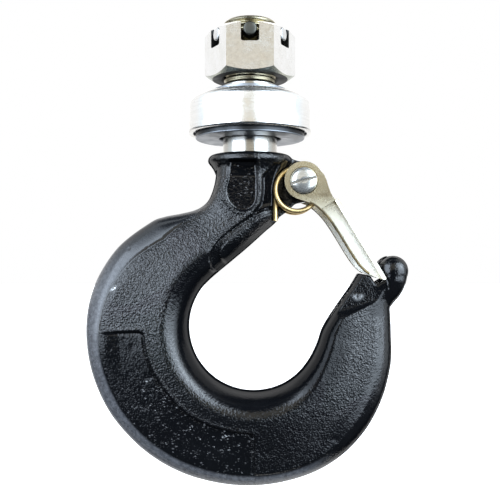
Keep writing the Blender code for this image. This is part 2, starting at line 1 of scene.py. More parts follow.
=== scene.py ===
"""A swivel lifting hook with its thrust bearing, castle nut, lock pins and sprung safety latch.

The shank's axis is Z with its top end at the origin, and everything hangs below it. The hook lies
in the XZ plane, with its tip and latch on the +X side, and the camera looks along +Y. Lengths are
in millimetres and are scaled to metres as each mesh is made. Lights, camera and shaders are in
metres.
"""
import math
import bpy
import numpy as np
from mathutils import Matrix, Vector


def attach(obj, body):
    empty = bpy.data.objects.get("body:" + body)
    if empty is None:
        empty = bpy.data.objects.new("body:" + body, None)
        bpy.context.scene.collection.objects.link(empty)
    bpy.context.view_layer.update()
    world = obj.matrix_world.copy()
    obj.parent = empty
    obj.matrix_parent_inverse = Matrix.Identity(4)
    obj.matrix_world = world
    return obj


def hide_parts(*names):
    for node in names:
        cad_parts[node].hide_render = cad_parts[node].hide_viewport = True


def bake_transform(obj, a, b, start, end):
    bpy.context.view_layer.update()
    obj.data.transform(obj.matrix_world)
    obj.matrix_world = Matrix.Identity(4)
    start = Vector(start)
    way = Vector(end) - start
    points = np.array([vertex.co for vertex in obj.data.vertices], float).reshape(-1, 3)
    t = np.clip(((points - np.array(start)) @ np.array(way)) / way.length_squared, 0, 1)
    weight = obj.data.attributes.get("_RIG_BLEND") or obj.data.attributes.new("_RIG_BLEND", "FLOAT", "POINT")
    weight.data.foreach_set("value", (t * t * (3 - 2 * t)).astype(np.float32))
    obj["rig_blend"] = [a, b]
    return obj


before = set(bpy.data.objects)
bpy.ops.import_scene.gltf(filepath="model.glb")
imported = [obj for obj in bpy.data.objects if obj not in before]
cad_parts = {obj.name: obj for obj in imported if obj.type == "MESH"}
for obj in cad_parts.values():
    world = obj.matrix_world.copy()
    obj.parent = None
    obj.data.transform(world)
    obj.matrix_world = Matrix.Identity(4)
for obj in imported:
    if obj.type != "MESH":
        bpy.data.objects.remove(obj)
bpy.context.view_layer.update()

from types import SimpleNamespace

import bmesh
import bpy
import numpy as np
from mathutils import Vector

MM = 0.001

# ---------------------------------------------------------------- shared dimensions (mm)

BOWL_X, BOWL_Z = 1.7, -139.7            # centre of the hook's bowl
PIVOT_X, PIVOT_Z = 24.0, -73.4          # latch pivot
COIL_X, COIL_Z = 21.0, -77.3            # centre of the spring's coil
COIL_RADIUS, WIRE_RADIUS = 9.6, 1.14
LATCH_SLOPE = math.radians(-58.6)       # direction of the latch's length
LATCH_WEB = 9.1                         # outer face of the latch's web, from the pivot line
LATCH_SHEET = 1.5
LATCH_HALF = 10.2                       # half the latch's width
COLLAR_TOP = -61.2
BALL_CIRCLE, BALL_Z, BALL_COUNT = 19.5, -46.2, 12
NUT_TOP, NUT_BOTTOM = -4.6, -26.2
QUARTER = math.pi / 2

# ---------------------------------------------------------------- mesh helpers


def mesh_object(name, points, faces, materials=(), angle=35):
    """Smooth-shaded object from points in millimetres; edges over the angle are sharp."""
    mesh = bpy.data.meshes.new(name)
    scaled = np.asarray(points, float).reshape(-1, 3) * MM
    mesh.from_pydata([tuple(p) for p in scaled], [], [tuple(f) for f in faces])
    bm = bmesh.new()
    bm.from_mesh(mesh)
    bmesh.ops.recalc_face_normals(bm, faces=bm.faces)
    bm.to_mesh(mesh)
    bm.free()
    mesh.shade_smooth()
    mesh.set_sharp_from_angle(angle=math.radians(angle))
    for material in materials:
        mesh.materials.append(material)
    return add_object(name, mesh)


def add_object(name, data):
    piece = bpy.data.objects.new(name, data)
    bpy.context.scene.collection.objects.link(piece)
    return piece


def fit(piece, body, node):
    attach(piece, body)
    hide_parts(node)


def bake(piece):
    """Replace the mesh with its evaluated one and drop the modifiers."""
    graph = bpy.context.evaluated_depsgraph_get()
    graph.update()
    mesh = bpy.data.meshes.new_from_object(piece.evaluated_get(graph), depsgraph=graph)
    piece.modifiers.clear()
    piece.data = mesh


def boolean(piece, tool, operation="DIFFERENCE"):
    modifier = piece.modifiers.new("b", "BOOLEAN")
    modifier.object = tool
    modifier.operation = operation
    modifier.solver = "EXACT"
    bake(piece)
    bpy.data.objects.remove(tool, do_unlink=True)


def true_flats(piece):
    """Large faces keep their own normals, and the small fillets carry the turn."""
    modifier = piece.modifiers.new("normals", "WEIGHTED_NORMAL")
    modifier.mode = "FACE_AREA"
    modifier.weight = 60
    modifier.keep_sharp = True
    bake(piece)


def bevel(piece, width, segments, angle):
    modifier = piece.modifiers.new("bevel", "BEVEL")
    modifier.width = width * MM
    modifier.segments = segments
    modifier.limit_method = "ANGLE"
    modifier.angle_limit = math.radians(angle)
    modifier.use_clamp_overlap = True
    modifier.harden_normals = False
    bake(piece)
    piece.data.shade_smooth()
    piece.data.set_sharp_from_angle(angle=math.radians(50))
    true_flats(piece)


def coat(piece, *materials):
    """Give the piece these material slots and no others."""
    piece.data.materials.clear()
    for material in materials:
        piece.data.materials.append(material)


def ring_faces(rings):
    """Faces between successive rings of vertex numbers; a ring of one vertex makes a fan."""
    faces = []
    for first, second in zip(rings, rings[1:]):
        count = max(len(first), len(second))
        if count == 1:
            continue
        for k in range(count):
            after = (k + 1) % count
            if len(first) == 1:
                faces.append((first[0], second[after], second[k]))
            elif len(second) == 1:
                faces.append((first[k], first[after], second[0]))
            else:
                faces.append((first[k], first[after], second[after], second[k]))
    return faces


def turned(name, profile, segments, materials=(), centre=(0, 0), axis="Z", angle=35):
    """Closed (radius, height) profile turned about a line parallel to Z or Y."""
    points, rings = [], []
    for radius, height in profile:
        count = 1 if radius < 1e-6 else segments
        rings.append(range(len(points), len(points) + count))
        for k in range(count):
            turn = 2 * math.pi * k / segments
            across = centre[0] + radius * math.cos(turn)
            along = centre[1] + radius * math.sin(turn)
            points.append((across, along, height) if axis == "Z" else (across, height, along))
    return mesh_object(name, points, ring_faces(rings + rings[:1]), materials, angle)


def prism(name, near, far):
    """Solid between two matching outlines of 3D points."""
    rings = [range(len(near)), range(len(near), 2 * len(near))]
    caps = [tuple(rings[0]), tuple(reversed(rings[1]))]
    return mesh_object(name, [*near, *far], caps + ring_faces(rings))


def plate(name, outline, y0, y1):
    """Solid from an (x, z) outline between two values of y."""
    return prism(name, [(x, y0, z) for x, z in outline], [(x, y1, z) for x, z in outline])


def sweep(name, path, radius, sides, material):
    """Round wire along a path, with flat ends."""
    path = [Vector(p) for p in path]
    points = []
    normal = Vector((0, 1, 0))
    for k, centre in enumerate(path):
        tangent = (path[min(k + 1, len(path) - 1)] - path[max(k - 1, 0)]).normalized()
        normal = (normal - tangent * normal.dot(tangent)).normalized()
        other = tangent.cross(normal)
        for i in range(sides):
            turn = 2 * math.pi * i / sides
            offset = normal * math.cos(turn) + other * math.sin(turn)
            points.append(tuple(centre + offset * radius))
    rings = [range(k * sides, (k + 1) * sides) for k in range(len(path))]
    faces = ring_faces(rings) + [tuple(rings[0]), tuple(rings[-1])]
    return mesh_object(name, points, faces, (material,), angle=50)


# ---------------------------------------------------------------- outlines and profiles


def arc(x, z, radius, start, end, steps):
    """Points of a circle between two angles in degrees."""
    angles = [math.radians(start + (end - start) * k / steps) for k in range(steps + 1)]
    return [(x + radius * math.cos(a), z + radius * math.sin(a)) for a in angles]


def spline(points, steps=5):
    """Open Catmull-Rom curve through the points."""
    points = np.asarray(points, float)
    last = len(points) - 1
    curve = []
    for k in range(last):
        before, start, end, after = (points[min(max(k + i, 0), last)] for i in (-1, 0, 1, 2))
        for i in range(steps):
            t = i / steps
            curve.append(0.5 * (2 * start + (end - before) * t
                                + (2 * before - 5 * start + 4 * end - after) * t * t
                                + (3 * start - before - 3 * end + after) * t ** 3))
    curve.append(points[-1])
    return [tuple(p) for p in curve]


def rounded(outline, radii, steps):
    """Round the corners of a closed outline, each by its own radius."""
    points = []
    for k, radius in enumerate(radii):
        corner, before, after = (np.array(outline[i % len(outline)], float)
                                 for i in (k, k - 1, k + 1))
        if radius <= 0:
            points.append(tuple(corner))
            continue
        back = (before - corner) / np.linalg.norm(before - corner)
        ahead = (after - corner) / np.linalg.norm(after - corner)
        half = math.acos(float(np.clip(back @ ahead, -1, 1))) / 2
        reach = radius / math.tan(half)
        middle = back + ahead
        centre = corner + middle / np.linalg.norm(middle) * (radius / math.sin(half))
        start = math.atan2(*(corner + back * reach - centre)[::-1])
        end = math.atan2(*(corner + ahead * reach - centre)[::-1])
        while end - start > math.pi:
            end -= 2 * math.pi
        while end - start < -math.pi:
            end += 2 * math.pi
        for i in range(steps + 1):
            t = start + (end - start) * i / steps
            points.append((centre[0] + radius * math.cos(t), centre[1] + radius * math.sin(t)))
    return points


def drum_profile(radius, half_length, corner):
    """Profile of a drum with rounded rims, for turning."""
    rim = [(radius - corner + corner * math.sin(t), corner - corner * math.cos(t))
           for t in np.linspace(0, QUARTER, 9)]
    return ([(0, -half_length)] + [(r, -half_length + h) for r, h in rim]
            + [(r, half_length - h) for r, h in rim[::-1]] + [(0, half_length)])


def latch_point(along, normal):
    """(x, z) of a point given along the latch from the pivot and square to its length."""
    ax, az = math.cos(LATCH_SLOPE), math.sin(LATCH_SLOPE)
    return (PIVOT_X + along * ax - normal * az, PIVOT_Z + along * az + normal * ax)


def latch_point_3d(along, normal, y):
    x, z = latch_point(along, normal)
    return (x, y, z)


# ---------------------------------------------------------------- masks


def ramp(value, start, end):
    """Smooth step: 0 at the start, 1 at the end."""
    t = np.clip((value - start) / (end - start), 0, 1)
    return t * t * (3 - 2 * t)


def fall(value, start, end):
    """Smooth step: 1 at the start, 0 at the end."""
    return 1 - ramp(value, start, end)


def bell(value, width):
    return np.exp(-(value / width) ** 2)


def wall(distance, width):
    """0 outside an outline and 1 inside, over a wall of this width."""
    return ramp(distance, -0.5 * width, 0.5 * width)


def soft_min(a, b, blend=3.0):
    h = np.clip(0.5 + 0.5 * (b - a) / blend, 0, 1)
    return b + (a - b) * h - blend * h * (1 - h)


def segment_distance(x, z, start, end):
    (ax, az), (bx, bz) = start, end
    dx, dz = bx - ax, bz - az
    t = np.clip(((x - ax) * dx + (z - az) * dz) / (dx * dx + dz * dz + 1e-12), 0, 1)
    return np.hypot(x - ax - t * dx, z - az - t * dz)


def signed_distance(x, z, polygon):
    """Distance to a closed polygon in the XZ plane, positive inside."""
    polygon = np.asarray(polygon, float)
    nearest = np.full(len(x), 1e9)
    inside = np.zeros(len(x), bool)
    for start, end in zip(polygon, np.roll(polygon, -1, axis=0)):
        nearest = np.minimum(nearest, segment_distance(x, z, start, end))
        (ax, az), (bx, bz) = start, end
        with np.errstate(divide="ignore", invalid="ignore"):
            crossing = ax + (z - az) / (bz - az) * (bx - ax)
        inside ^= ((az > z) != (bz > z)) & (x < crossing)
    return np.where(inside, nearest, -nearest)


# ---------------------------------------------------------------- shader graphs


class Value:
    """A shader socket that arithmetic turns into Math nodes."""

    def __init__(self, graph, socket):
        self.graph = graph
        self.socket = socket

    def __add__(self, other):
        return self.graph.math("ADD", self, other)

    def __radd__(self, other):
        return self.graph.math("ADD", other, self)

    def __sub__(self, other):
        return self.graph.math("SUBTRACT", self, other)

    def __rsub__(self, other):
        return self.graph.math("SUBTRACT", other, self)

    def __mul__(self, other):
        return self.graph.math("MULTIPLY", self, other)


class Graph:
    """Adds nodes to a shader tree."""

    def __init__(self, tree):
        self.tree = tree

    def feed(self, socket, value):
        """Link a Value to an input, or set it to a constant."""
        if isinstance(value, Value):
            self.tree.links.new(value.socket, socket)
        elif isinstance(value, tuple) and socket.type == "RGBA":
            socket.default_value = (*value, 1)
        else:
            socket.default_value = value

    def node(self, kind, inputs, output=0, **settings):
        """Add a node and return one of its outputs."""
        node = self.tree.nodes.new("ShaderNode" + kind)
        for key, value in settings.items():
            setattr(node, key, value)
        for key, value in inputs.items():
            self.feed(node.inputs[key], value)
        return Value(self, node.outputs[output])

    def math(self, operation, *values):
        return self.node("Math", dict(enumerate(values)), operation=operation)

    def remap(self, value, source, target=(0.0, 1.0), kind="LINEAR"):
        """Map the source range onto the target range, clamped."""
        inputs = {"Value": value, "From Min": source[0], "From Max": source[1],
                  "To Min": target[0], "To Max": target[1]}
        return self.node("MapRange", inputs, "Result", interpolation_type=kind)

    def coordinates(self, kind):
        return self.node("TexCoord", {}, kind)

    def split(self, vector):
        """The x, y and z of a vector."""
        node = self.node("SeparateXYZ", {0: vector}).socket.node
        return [Value(self, output) for output in node.outputs]


class MaterialGraph(Graph):
    """A new material, textured in object coordinates."""

    def __init__(self, name):
        self.material = bpy.data.materials.new(name)
        self.material.use_nodes = True
        super().__init__(self.material.node_tree)
        self.coord = self.coordinates("Object")

    def place(self, stretch):
        """Texture coordinates, scaled on each axis if a stretch is given."""
        if stretch is None:
            return self.coord
        return self.node("Mapping", {"Vector": self.coord, "Scale": stretch})

    def noise(self, scale, detail=3.0, roughness=0.55, distortion=0.0, stretch=None):
        inputs = {"Vector": self.place(stretch), "Scale": scale, "Detail": detail,
                  "Roughness": roughness, "Distortion": distortion}
        return self.node("TexNoise", inputs, "Fac")

    def voronoi(self, scale, stretch=None):
        inputs = {"Vector": self.place(stretch), "Scale": scale, "Randomness": 1.0}
        return self.node("TexVoronoi", inputs, "Distance", feature="F1")

    def mix(self, factor, first, second):
        return self.node("Mix", {0: factor, 6: first, 7: second}, 2, data_type="RGBA")

    def attribute(self, name):
        return self.node("Attribute", {}, "Fac", attribute_name=name)

    def bump(self, height, distance, strength):
        inputs = {"Distance": distance, "Strength": strength, "Height": height}
        return self.node("Bump", inputs, "Normal")

    def dot(self, first, second):
        return self.node("VectorMath", {0: first, 1: second}, "Value", operation="DOT_PRODUCT")

    def edge(self, radius, source):
        """1 where the surface turns sharply."""
        soft = self.node("Bevel", {"Radius": radius}, "Normal", samples=4)
        true = self.node("NewGeometry", {}, "Normal")
        return self.remap(1.0 - self.dot(soft, true), source)

    def object_normal(self):
        normal = self.node("NewGeometry", {}, "Normal")
        return self.node("VectorTransform", {0: normal}, convert_from="WORLD",
                         convert_to="OBJECT")

    def finish(self, inputs):
        """Feed the Principled shader and return the material."""
        shader = self.tree.nodes["Principled BSDF"]
        for key, value in inputs.items():
            self.feed(shader.inputs[key], value)
        return self.material


# ---------------------------------------------------------------- materials


def paint_material():
    """Black enamel on a cast skin, steered by the forging's attributes."""
    graph = MaterialGraph("black_paint_cast")
    noise, remap, mix = graph.noise, graph.remap, graph.mix
    coarse = graph.attribute("cast")       # 1 where the forging skin is coarse
    pitted = graph.attribute("pitted")     # 1 in the sunk panels
    # the rim attribute marks where the enamel is painted lighter grey as sheen of the white surroundings,
    # and made rougher
    rim_sheen = graph.attribute("rim")           # 1 on the rim, where the thin coat has gone dull

    # relief: orange peel at three scales, then grit and lumps in patches
    peel = noise(1350.0, detail=1.0, roughness=0.5, distortion=0.3)
    wide = noise(720.0, detail=1.0, roughness=0.5)
    fine = noise(2600.0, detail=2.0, roughness=0.6)
    height = (peel * 0.75 + wide * 0.45 + fine * 0.10) * (0.07 + coarse * 0.93)
    grit = remap(graph.voronoi(720.0, stretch=(1.0, 1.0, 1.35)), (0.02, 0.40), (1.0, 0.0))
    grit_patches = remap(noise(260.0, detail=4.0, roughness=0.7), (0.50, 0.60))
    lump = remap(graph.voronoi(340.0, stretch=(1.0, 1.0, 1.7)), (0.03, 0.27), (1.0, 0.0))
    lump = lump * remap(noise(300.0, detail=3.0, roughness=0.6), (0.51, 0.58))
    grit = graph.math("MAXIMUM", grit * grit_patches, lump) * pitted
    normal = graph.bump(height + grit * 0.95, distance=0.00048, strength=1.0)

    # colour: dusty black, a streaked rim painted lighter grey as sheen, worn edges and pale grit
    edge = graph.edge(radius=0.0006, source=(0.03, 0.30))
    worn = edge * remap(noise(420.0, detail=3.0, roughness=0.6), (0.58, 0.66))
    dust = remap(noise(95.0, detail=5.0, roughness=0.65), (0.50, 0.75))
    streak = noise(1.0, detail=3.0, roughness=0.6, stretch=(700, 160, 700))
    colour = mix(dust * 0.35, (0.0036, 0.0040, 0.0050), (0.009, 0.0095, 0.011))
    rim_sheen_colour = mix(remap(streak, (0.35, 0.65)), (0.072, 0.074, 0.083), (0.138, 0.141, 0.154))
    colour = mix(rim_sheen, colour, rim_sheen_colour)
    colour = mix(worn * 0.45, colour, (0.08, 0.08, 0.085))
    colour = mix(grit * 0.35, colour, (0.09, 0.09, 0.092))
    roughness = 0.085 + dust * 0.05 + rim_sheen * 0.17 - pitted * 0.02

    # specular level: cut down towards a glancing angle, a painted shade over the sweep's reflection there,
    # except on the rim
    facing = graph.node("LayerWeight", {"Blend": 0.5}, "Facing")
    level = remap(facing, (0.38, 0.76), (0.56, 0.0))
    # painted shade: the roll attribute cuts the reflection on the bowl's inner roll, the pockets, the panel
    # and the bowl's right side
    level = level * (1.0 - graph.attribute("roll") * 0.85)
    grain = remap(noise(1500.0, detail=2.0, roughness=0.6, distortion=0.6),
                  (0.40, 0.63), (0.58, 1.36))
    level = level * (1.0 + coarse * (grain - 1.0))
    level = level + grit * 0.44
    level = level + remap(facing, (0.935, 0.985), (0.0, 0.55))   # last sliver catches the sweep
    glint = graph.math("POWER", grit, 1.3)
    glint = glint * remap(noise(900.0, detail=2.0, roughness=0.6), (0.47, 0.58))
    # the attribute read here gives a brighter metallic spot at the gouge and a painted highlight on the pip
    glint = graph.math("MAXIMUM", glint, graph.attribute("bright_spot"))
    colour = mix(glint, colour, (0.62, 0.63, 0.64))
    level = level + rim_sheen * (0.5 - level)
    return graph.finish({"Base Color": colour, "Roughness": roughness,
                         "Metallic": glint * 0.8, "IOR": 1.53,
                         "Specular IOR Level": level, "Normal": normal})


def turned_steel(name, colour, roughness, ring_strength=0.5, warmth=0.0):
    """Metal turned about Z: fine rings, drag marks round it and smudges."""
    graph = MaterialGraph(name)
    x, y, z = graph.split(graph.coord)
    radius = graph.math("SQRT", x * x + y * y)
    angle = graph.math("ARCTAN2", y, x)
    # fine along the profile and slow round the axis
    around = graph.node("CombineXYZ", {0: (z + radius) * 5200.0, 1: angle * 1.3})
    rings = graph.node("TexNoise", {"Scale": 1.0, "Detail": 4.0, "Vector": around}, "Fac",
                       noise_dimensions="2D")
    smudge = graph.noise(160.0, detail=4.0, roughness=0.6)
    shade = graph.mix(graph.remap(rings, (0.3, 0.7)), tuple(c * 0.90 for c in colour), colour)
    stain = (colour[0] * (0.86 + 0.05 * warmth), colour[1] * 0.82,
             colour[2] * (0.80 - 0.08 * warmth))
    shade = graph.mix(graph.remap(smudge, (0.52, 0.78), (0.0, 0.6)), shade, stain)
    rough = (graph.remap(smudge, (0.35, 0.7), (roughness * 0.8, roughness * 1.5))
             + graph.remap(rings, (0.3, 0.7), (0.0, 0.05)))
    return graph.finish({"Base Color": shade, "Metallic": 1.0, "Roughness": rough,
                         "Normal": graph.bump(rings, distance=0.00002, strength=ring_strength),
                         "Anisotropic": 0.35})


def painted_glare_and_cut_edge(graph, look):
    """Painted glare: near white and less metallic towards the latch's lower end; and brown along its lower
    side.
    """
    remap, mix = graph.remap, graph.mix
    _, y, z = graph.split(graph.coordinates("Object"))
    # painted light: towards the lower end the sheet is painted near white and less metallic, standing in for
    # glare
    painted_glare = remap(z, (-0.080, -0.093)) * remap(look.blotch, (0.30, 0.62), (1.0, 0.80))
    look.colour = mix(painted_glare * 0.9, look.colour, (0.95, 0.92, 0.82))
    look.metallic = look.metallic - painted_glare * 0.86
    look.roughness = look.roughness + painted_glare * 0.12
    normal = graph.object_normal()
    cut = remap(graph.dot(normal, (-0.85, 0.0, -0.52)), (0.35, 0.75))
    look.colour = mix(cut * 0.85, look.colour, (0.36, 0.27, 0.13))
    # painted light: the inside of the far (+Y) flange, shaded by the near one, is painted as white as the
    # glare
    painted_inner_light = remap(y, (0.005, 0.006)) * remap(graph.split(normal)[1], (-0.3, -0.8)) * painted_glare
    look.colour = mix(painted_inner_light, look.colour, (0.98, 0.96, 0.88))
    look.metallic = look.metallic * (1.0 - painted_inner_light)


def painted_underside_shade_and_pores(graph, look):
    """Downward faces darkened to a greenish grey, the bottom face painted near black as shade, and pores and
    mottling in the plating.
    """
    remap, mix = graph.remap, graph.mix
    _, across, up = graph.split(graph.object_normal())
    down = up * -1.0
    # painted shade: faces turning downwards are darkened, and the bottom face goes near black and not
    # metallic
    look.colour = mix(remap(down, (0.12, 0.4), (0.0, 0.85)), look.colour, (0.30, 0.325, 0.27))
    bottom_shade = remap(down, (0.9, 0.97))
    look.colour = mix(bottom_shade, look.colour, (0.018, 0.018, 0.016))
    look.metallic = 1.0 - bottom_shade
    look.roughness = look.roughness + bottom_shade * 0.35
    pores = remap(graph.voronoi(1500.0), (0.02, 0.16), (0.55, 0.0))
    pores = pores * remap(graph.noise(330.0, detail=3.0, roughness=0.6), (0.48, 0.62))
    look.colour = mix(pores, look.colour, (0.42, 0.34, 0.26))
    # strongest on faces square to Y
    square = remap(graph.math("ABSOLUTE", across), (0.70, 0.95), (0.25, 1.0))
    mottle = square * remap(graph.noise(620.0, detail=5.0, roughness=0.75),
                            (0.34, 0.66), (0.38, 0.0))
    look.colour = mix(mottle, look.colour, (0.56, 0.50, 0.42))


def plated_metal(name, colour, tint, roughness, grain=(900, 900, 900), relief=0.00003,
                 metallic=1.0, wear_and_painted_light=None):
    """Brushed, blotched and speckled metal; the last argument, if given, is a function that alters its look
    with wear and painted light or shade.
    """
    graph = MaterialGraph(name)
    remap, mix = graph.remap, graph.mix
    brushed = graph.noise(1.0, detail=3.0, roughness=0.6, stretch=grain)
    blotch = graph.noise(120.0, detail=4.0, roughness=0.62)
    speck = remap(graph.voronoi(900.0), (0.0, 0.12), (0.35, 0.0))
    shade = mix(remap(blotch, (0.38, 0.68)), colour, tint)
    shade = mix(speck, shade, tuple(c * 0.45 for c in tint))
    rough = (remap(blotch, (0.3, 0.7), (roughness * 0.75, roughness * 1.4))
             + remap(brushed, (0.3, 0.7), (0.0, 0.06)))
    edge = graph.edge(radius=0.0004, source=(0.04, 0.35))
    shade = mix(edge * 0.5, shade, tuple(min(1.0, c * 1.15) for c in colour))
    look = SimpleNamespace(colour=shade, roughness=rough, metallic=metallic, blotch=blotch)
    if wear_and_painted_light:
        wear_and_painted_light(graph, look)
    return graph.finish({"Base Color": look.colour, "Metallic": look.metallic,
                         "Roughness": look.roughness,
                         "Normal": graph.bump(brushed, distance=relief, strength=0.7)})


PAINT = paint_material()
SHANK = turned_steel("turned_shank_steel", colour=(0.60, 0.585, 0.55), roughness=0.13,
                     ring_strength=0.8, warmth=1.0)
THREAD = turned_steel("thread_steel", colour=(0.40, 0.36, 0.25), roughness=0.26,
                      ring_strength=0.4, warmth=1.0)
COVER = turned_steel("polished_shroud", colour=(0.97, 0.96, 0.94), roughness=0.205,
                     ring_strength=0.12, warmth=0.6)
RACE = turned_steel("ground_race", colour=(0.31, 0.33, 0.36), roughness=0.30)
# painted shade: near-black material for the lower race's outer wall
RACE_WALL_SHADE = turned_steel("race_wall_painted_shade", colour=(0.05, 0.052, 0.055), roughness=0.30)
NUT = plated_metal("plated_nut", colour=(0.95, 0.95, 0.95), tint=(0.88, 0.87, 0.84),
                   roughness=0.20, grain=(250, 250, 2600), wear_and_painted_light=painted_underside_shade_and_pores)
# painted shade: the front pin is a dark copy of the bright pin steel below
PIN = plated_metal("lock_pin_painted_shade", colour=(0.115, 0.115, 0.10), tint=(0.05, 0.05, 0.045),
                   roughness=0.42)
PIN_BRIGHT = plated_metal("lock_pin_bright", colour=(0.86, 0.87, 0.88),
                          tint=(0.70, 0.70, 0.70), roughness=0.22)
LATCH = plated_metal("latch_sheet", colour=(0.90, 0.83, 0.63), tint=(0.72, 0.64, 0.43),
                     roughness=0.20, grain=(1900, 500, 700), wear_and_painted_light=painted_glare_and_cut_edge)
SHEARED = plated_metal("sheared_edge_oxide", colour=(0.21, 0.150, 0.062),
                       tint=(0.06, 0.045, 0.022), roughness=0.42, grain=(1600, 500, 900),
                       metallic=0.30)
SPRING = plated_metal("spring_brass", colour=(0.86, 0.66, 0.33), tint=(0.64, 0.43, 0.17),
                      roughness=0.36, grain=(500, 2500, 500))
SCREW = plated_metal("bright_screw", colour=(0.76, 0.75, 0.71), tint=(0.50, 0.49, 0.45),
                     roughness=0.20, grain=(1800, 400, 1800), relief=0.00004, metallic=0.80)
# painted shade: near-black material for the nut's bore and the walls and floors of its slots
SLOT = plated_metal("nut_slot_painted_shade", colour=(0.020, 0.020, 0.018),
                    tint=(0.010, 0.010, 0.010), roughness=0.45, grain=(600, 600, 600),
                    metallic=0.3)
CAGE = plated_metal("cage_brass", colour=(0.74, 0.56, 0.27), tint=(0.55, 0.40, 0.18),
                    roughness=0.34)
BALL = plated_metal("ball_steel", colour=(0.86, 0.87, 0.89), tint=(0.80, 0.81, 0.83),
                    roughness=0.06, grain=(300, 300, 300), relief=0.000003)

# ---------------------------------------------------------------- hook forging: solid

# Sections: inner x, inner z, outer x, outer z, half thickness, roundness (1 round, 0 forged
# shape), ridge distance from the inner point, rim width.
NECK_ROWS = [
    (15.2, -66.6, -15.4, -66.6, 15.4, 1.0, 10, 9.0),
    (15.3, -74.0, -16.1, -74.0, 15.5, 1.0, 10, 9.0),
    (14.6, -82.0, -18.2, -80.4, 15.4, 0.85, 10, 9.0),
    (12.9, -90.2, -20.9, -83.8, 15.4, 0.55, 10, 9.5),
    (6.4, -96.4, -25.2, -86.2, 15.4, 0.35, 10, 10.5),
    (-1.0, -103.2, -32.0, -87.8, 15.6, 0.15, 10, 11.5),
    (-8.6, -109.6, -39.4, -89.2, 16.0, 0.05, 10, 11.8),
]
TIP_ROWS = [
    (33.0, -141.2, 64.7, -142.4, 13.0, 0.0, 5.2, 8.0),
    (36.2, -135.6, 64.3, -134.0, 12.5, 0.0, 5.0, 7.6),
    (39.6, -130.4, 64.2, -128.6, 12.0, 0.05, 4.6, 7.0),
    (43.0, -125.4, 65.7, -125.0, 11.4, 0.1, 4.2, 6.4),
    (46.3, -120.6, 68.0, -121.9, 10.9, 0.15, 4.0, 6.0),
    (49.6, -115.0, 69.2, -119.4, 10.5, 0.2, 4.0, 6.0),
]
# Angle about the bowl's centre (from +X towards +Z), inner radius, outer radius, half thickness.
BOWL_STATIONS = [
    (135, 29.7, 67.5, 16.3), (150, 29.7, 72.3, 16.5), (165, 29.7, 75.5, 16.5),
    (180, 29.7, 76.8, 16.5), (195, 29.7, 77.0, 16.5), (210, 29.7, 76.6, 16.5),
    (225, 29.7, 75.7, 16.5), (240, 29.7, 74.6, 16.5), (255, 29.7, 73.3, 16.5),
    (270, 29.7, 72.5, 16.4), (285, 29.7, 72.1, 16.1), (300, 29.7, 71.6, 15.6),
    (315, 29.7, 69.9, 15.0), (330, 29.7, 67.5, 14.3), (345, 30.2, 65.1, 13.6),
]
# Root of the nose: x, z, radius, half length, rim radius.
NOSE_ROOT = [
    (64.5, -116.6, 6.7, 9.9, 5.9), (64.1, -118.9, 6.5, 9.3, 5.8), (63.3, -121.2, 6.3, 8.2, 5.6),
    (62.1, -123.4, 6.0, 6.8, 5.2), (60.7, -125.6, 5.8, 5.4, 4.6), (59.4, -127.8, 5.6, 4.4, 3.9),
    (58.5, -130.4, 5.5, 3.8, 3.4),
]
# Floor line (x, z) of the pockets in the sides of the tip.
POCKET_LINE = [(26.0, -137.2), (37.3, -133.4)] + spline([
    (37.3, -133.4), (48.0, -130.0), (58.6, -126.4), (61.4, -124.4), (62.7, -121.6)])[1:]


def rim_width(angle):
    return 8.2 + 3.2 * fall(angle, 135, 185) - 0.6 * ramp(angle, 240, 290)


def body_rows():
    rows = list(NECK_ROWS)
    for angle, inner, outer, half in BOWL_STATIONS:
        c, s = math.cos(math.radians(angle)), math.sin(math.radians(angle))
        ridge = 10.0 + 1.2 * bell(angle - 185, 35.0) - 4.5 * ramp(angle, 285, 345)
        rows.append((BOWL_X + inner * c, BOWL_Z + inner * s, BOWL_X + outer * c,
                     BOWL_Z + outer * s, half, 0.0, ridge, rim_width(angle)))
    return rows + TIP_ROWS


def section(width, half, roundness, ridge_distance, rim):
    """Half a body section as (distance from the inner point, half thickness)."""
    box_power = 0.66                # squareness of the round section's outer side
    rim_level = 0.68                # thickness at the rim's crease, as a share of the half
    rim_start = math.radians(34)
    ridge = min(ridge_distance / width, 0.40)
    crease = max(1.0 - rim / width if width > 24 else 0.70, ridge + 0.15)
    forged = []
    for k in range(16):             # inner roll, a little fuller than an ellipse
        t = QUARTER * k / 16
        forged.append((ridge * (1 - math.cos(t) ** 0.92), math.sin(t) ** 0.92))
    for k in range(14):             # slightly dished face
        t = k / 14
        dish = -0.010 * math.sin(math.pi * t) ** 2
        forged.append((ridge + (crease - ridge) * t,
                       1 + (rim_level - 1) * t + dish * (1 - roundness)))
    for k in range(15):             # rim
        t = rim_start + (QUARTER - rim_start) * k / 14
        rise = (math.sin(t) - math.sin(rim_start)) / (1 - math.sin(rim_start))
        forged.append((crease + (1 - crease) * rise,
                       rim_level * math.cos(t) / math.cos(rim_start)))
    last = len(forged) - 1
    outline = []
    for k, (u, v) in enumerate(forged):
        s = k / last
        c, height = math.cos(math.pi * s), max(math.sin(math.pi * s), 0.0)
        power = 1.0 + (box_power - 1.0) * float(ramp(s, 0.38, 0.52))
        round_u = 0.5 - 0.5 * math.copysign(abs(c) ** power, c)
        round_v = height ** power
        outline.append((width * (u + (round_u - u) * roundness),
                        half * (v + (round_v - v) * roundness)))
    outline[0], outline[-1] = (0.0, 0.0), (width, 0.0)
    return outline


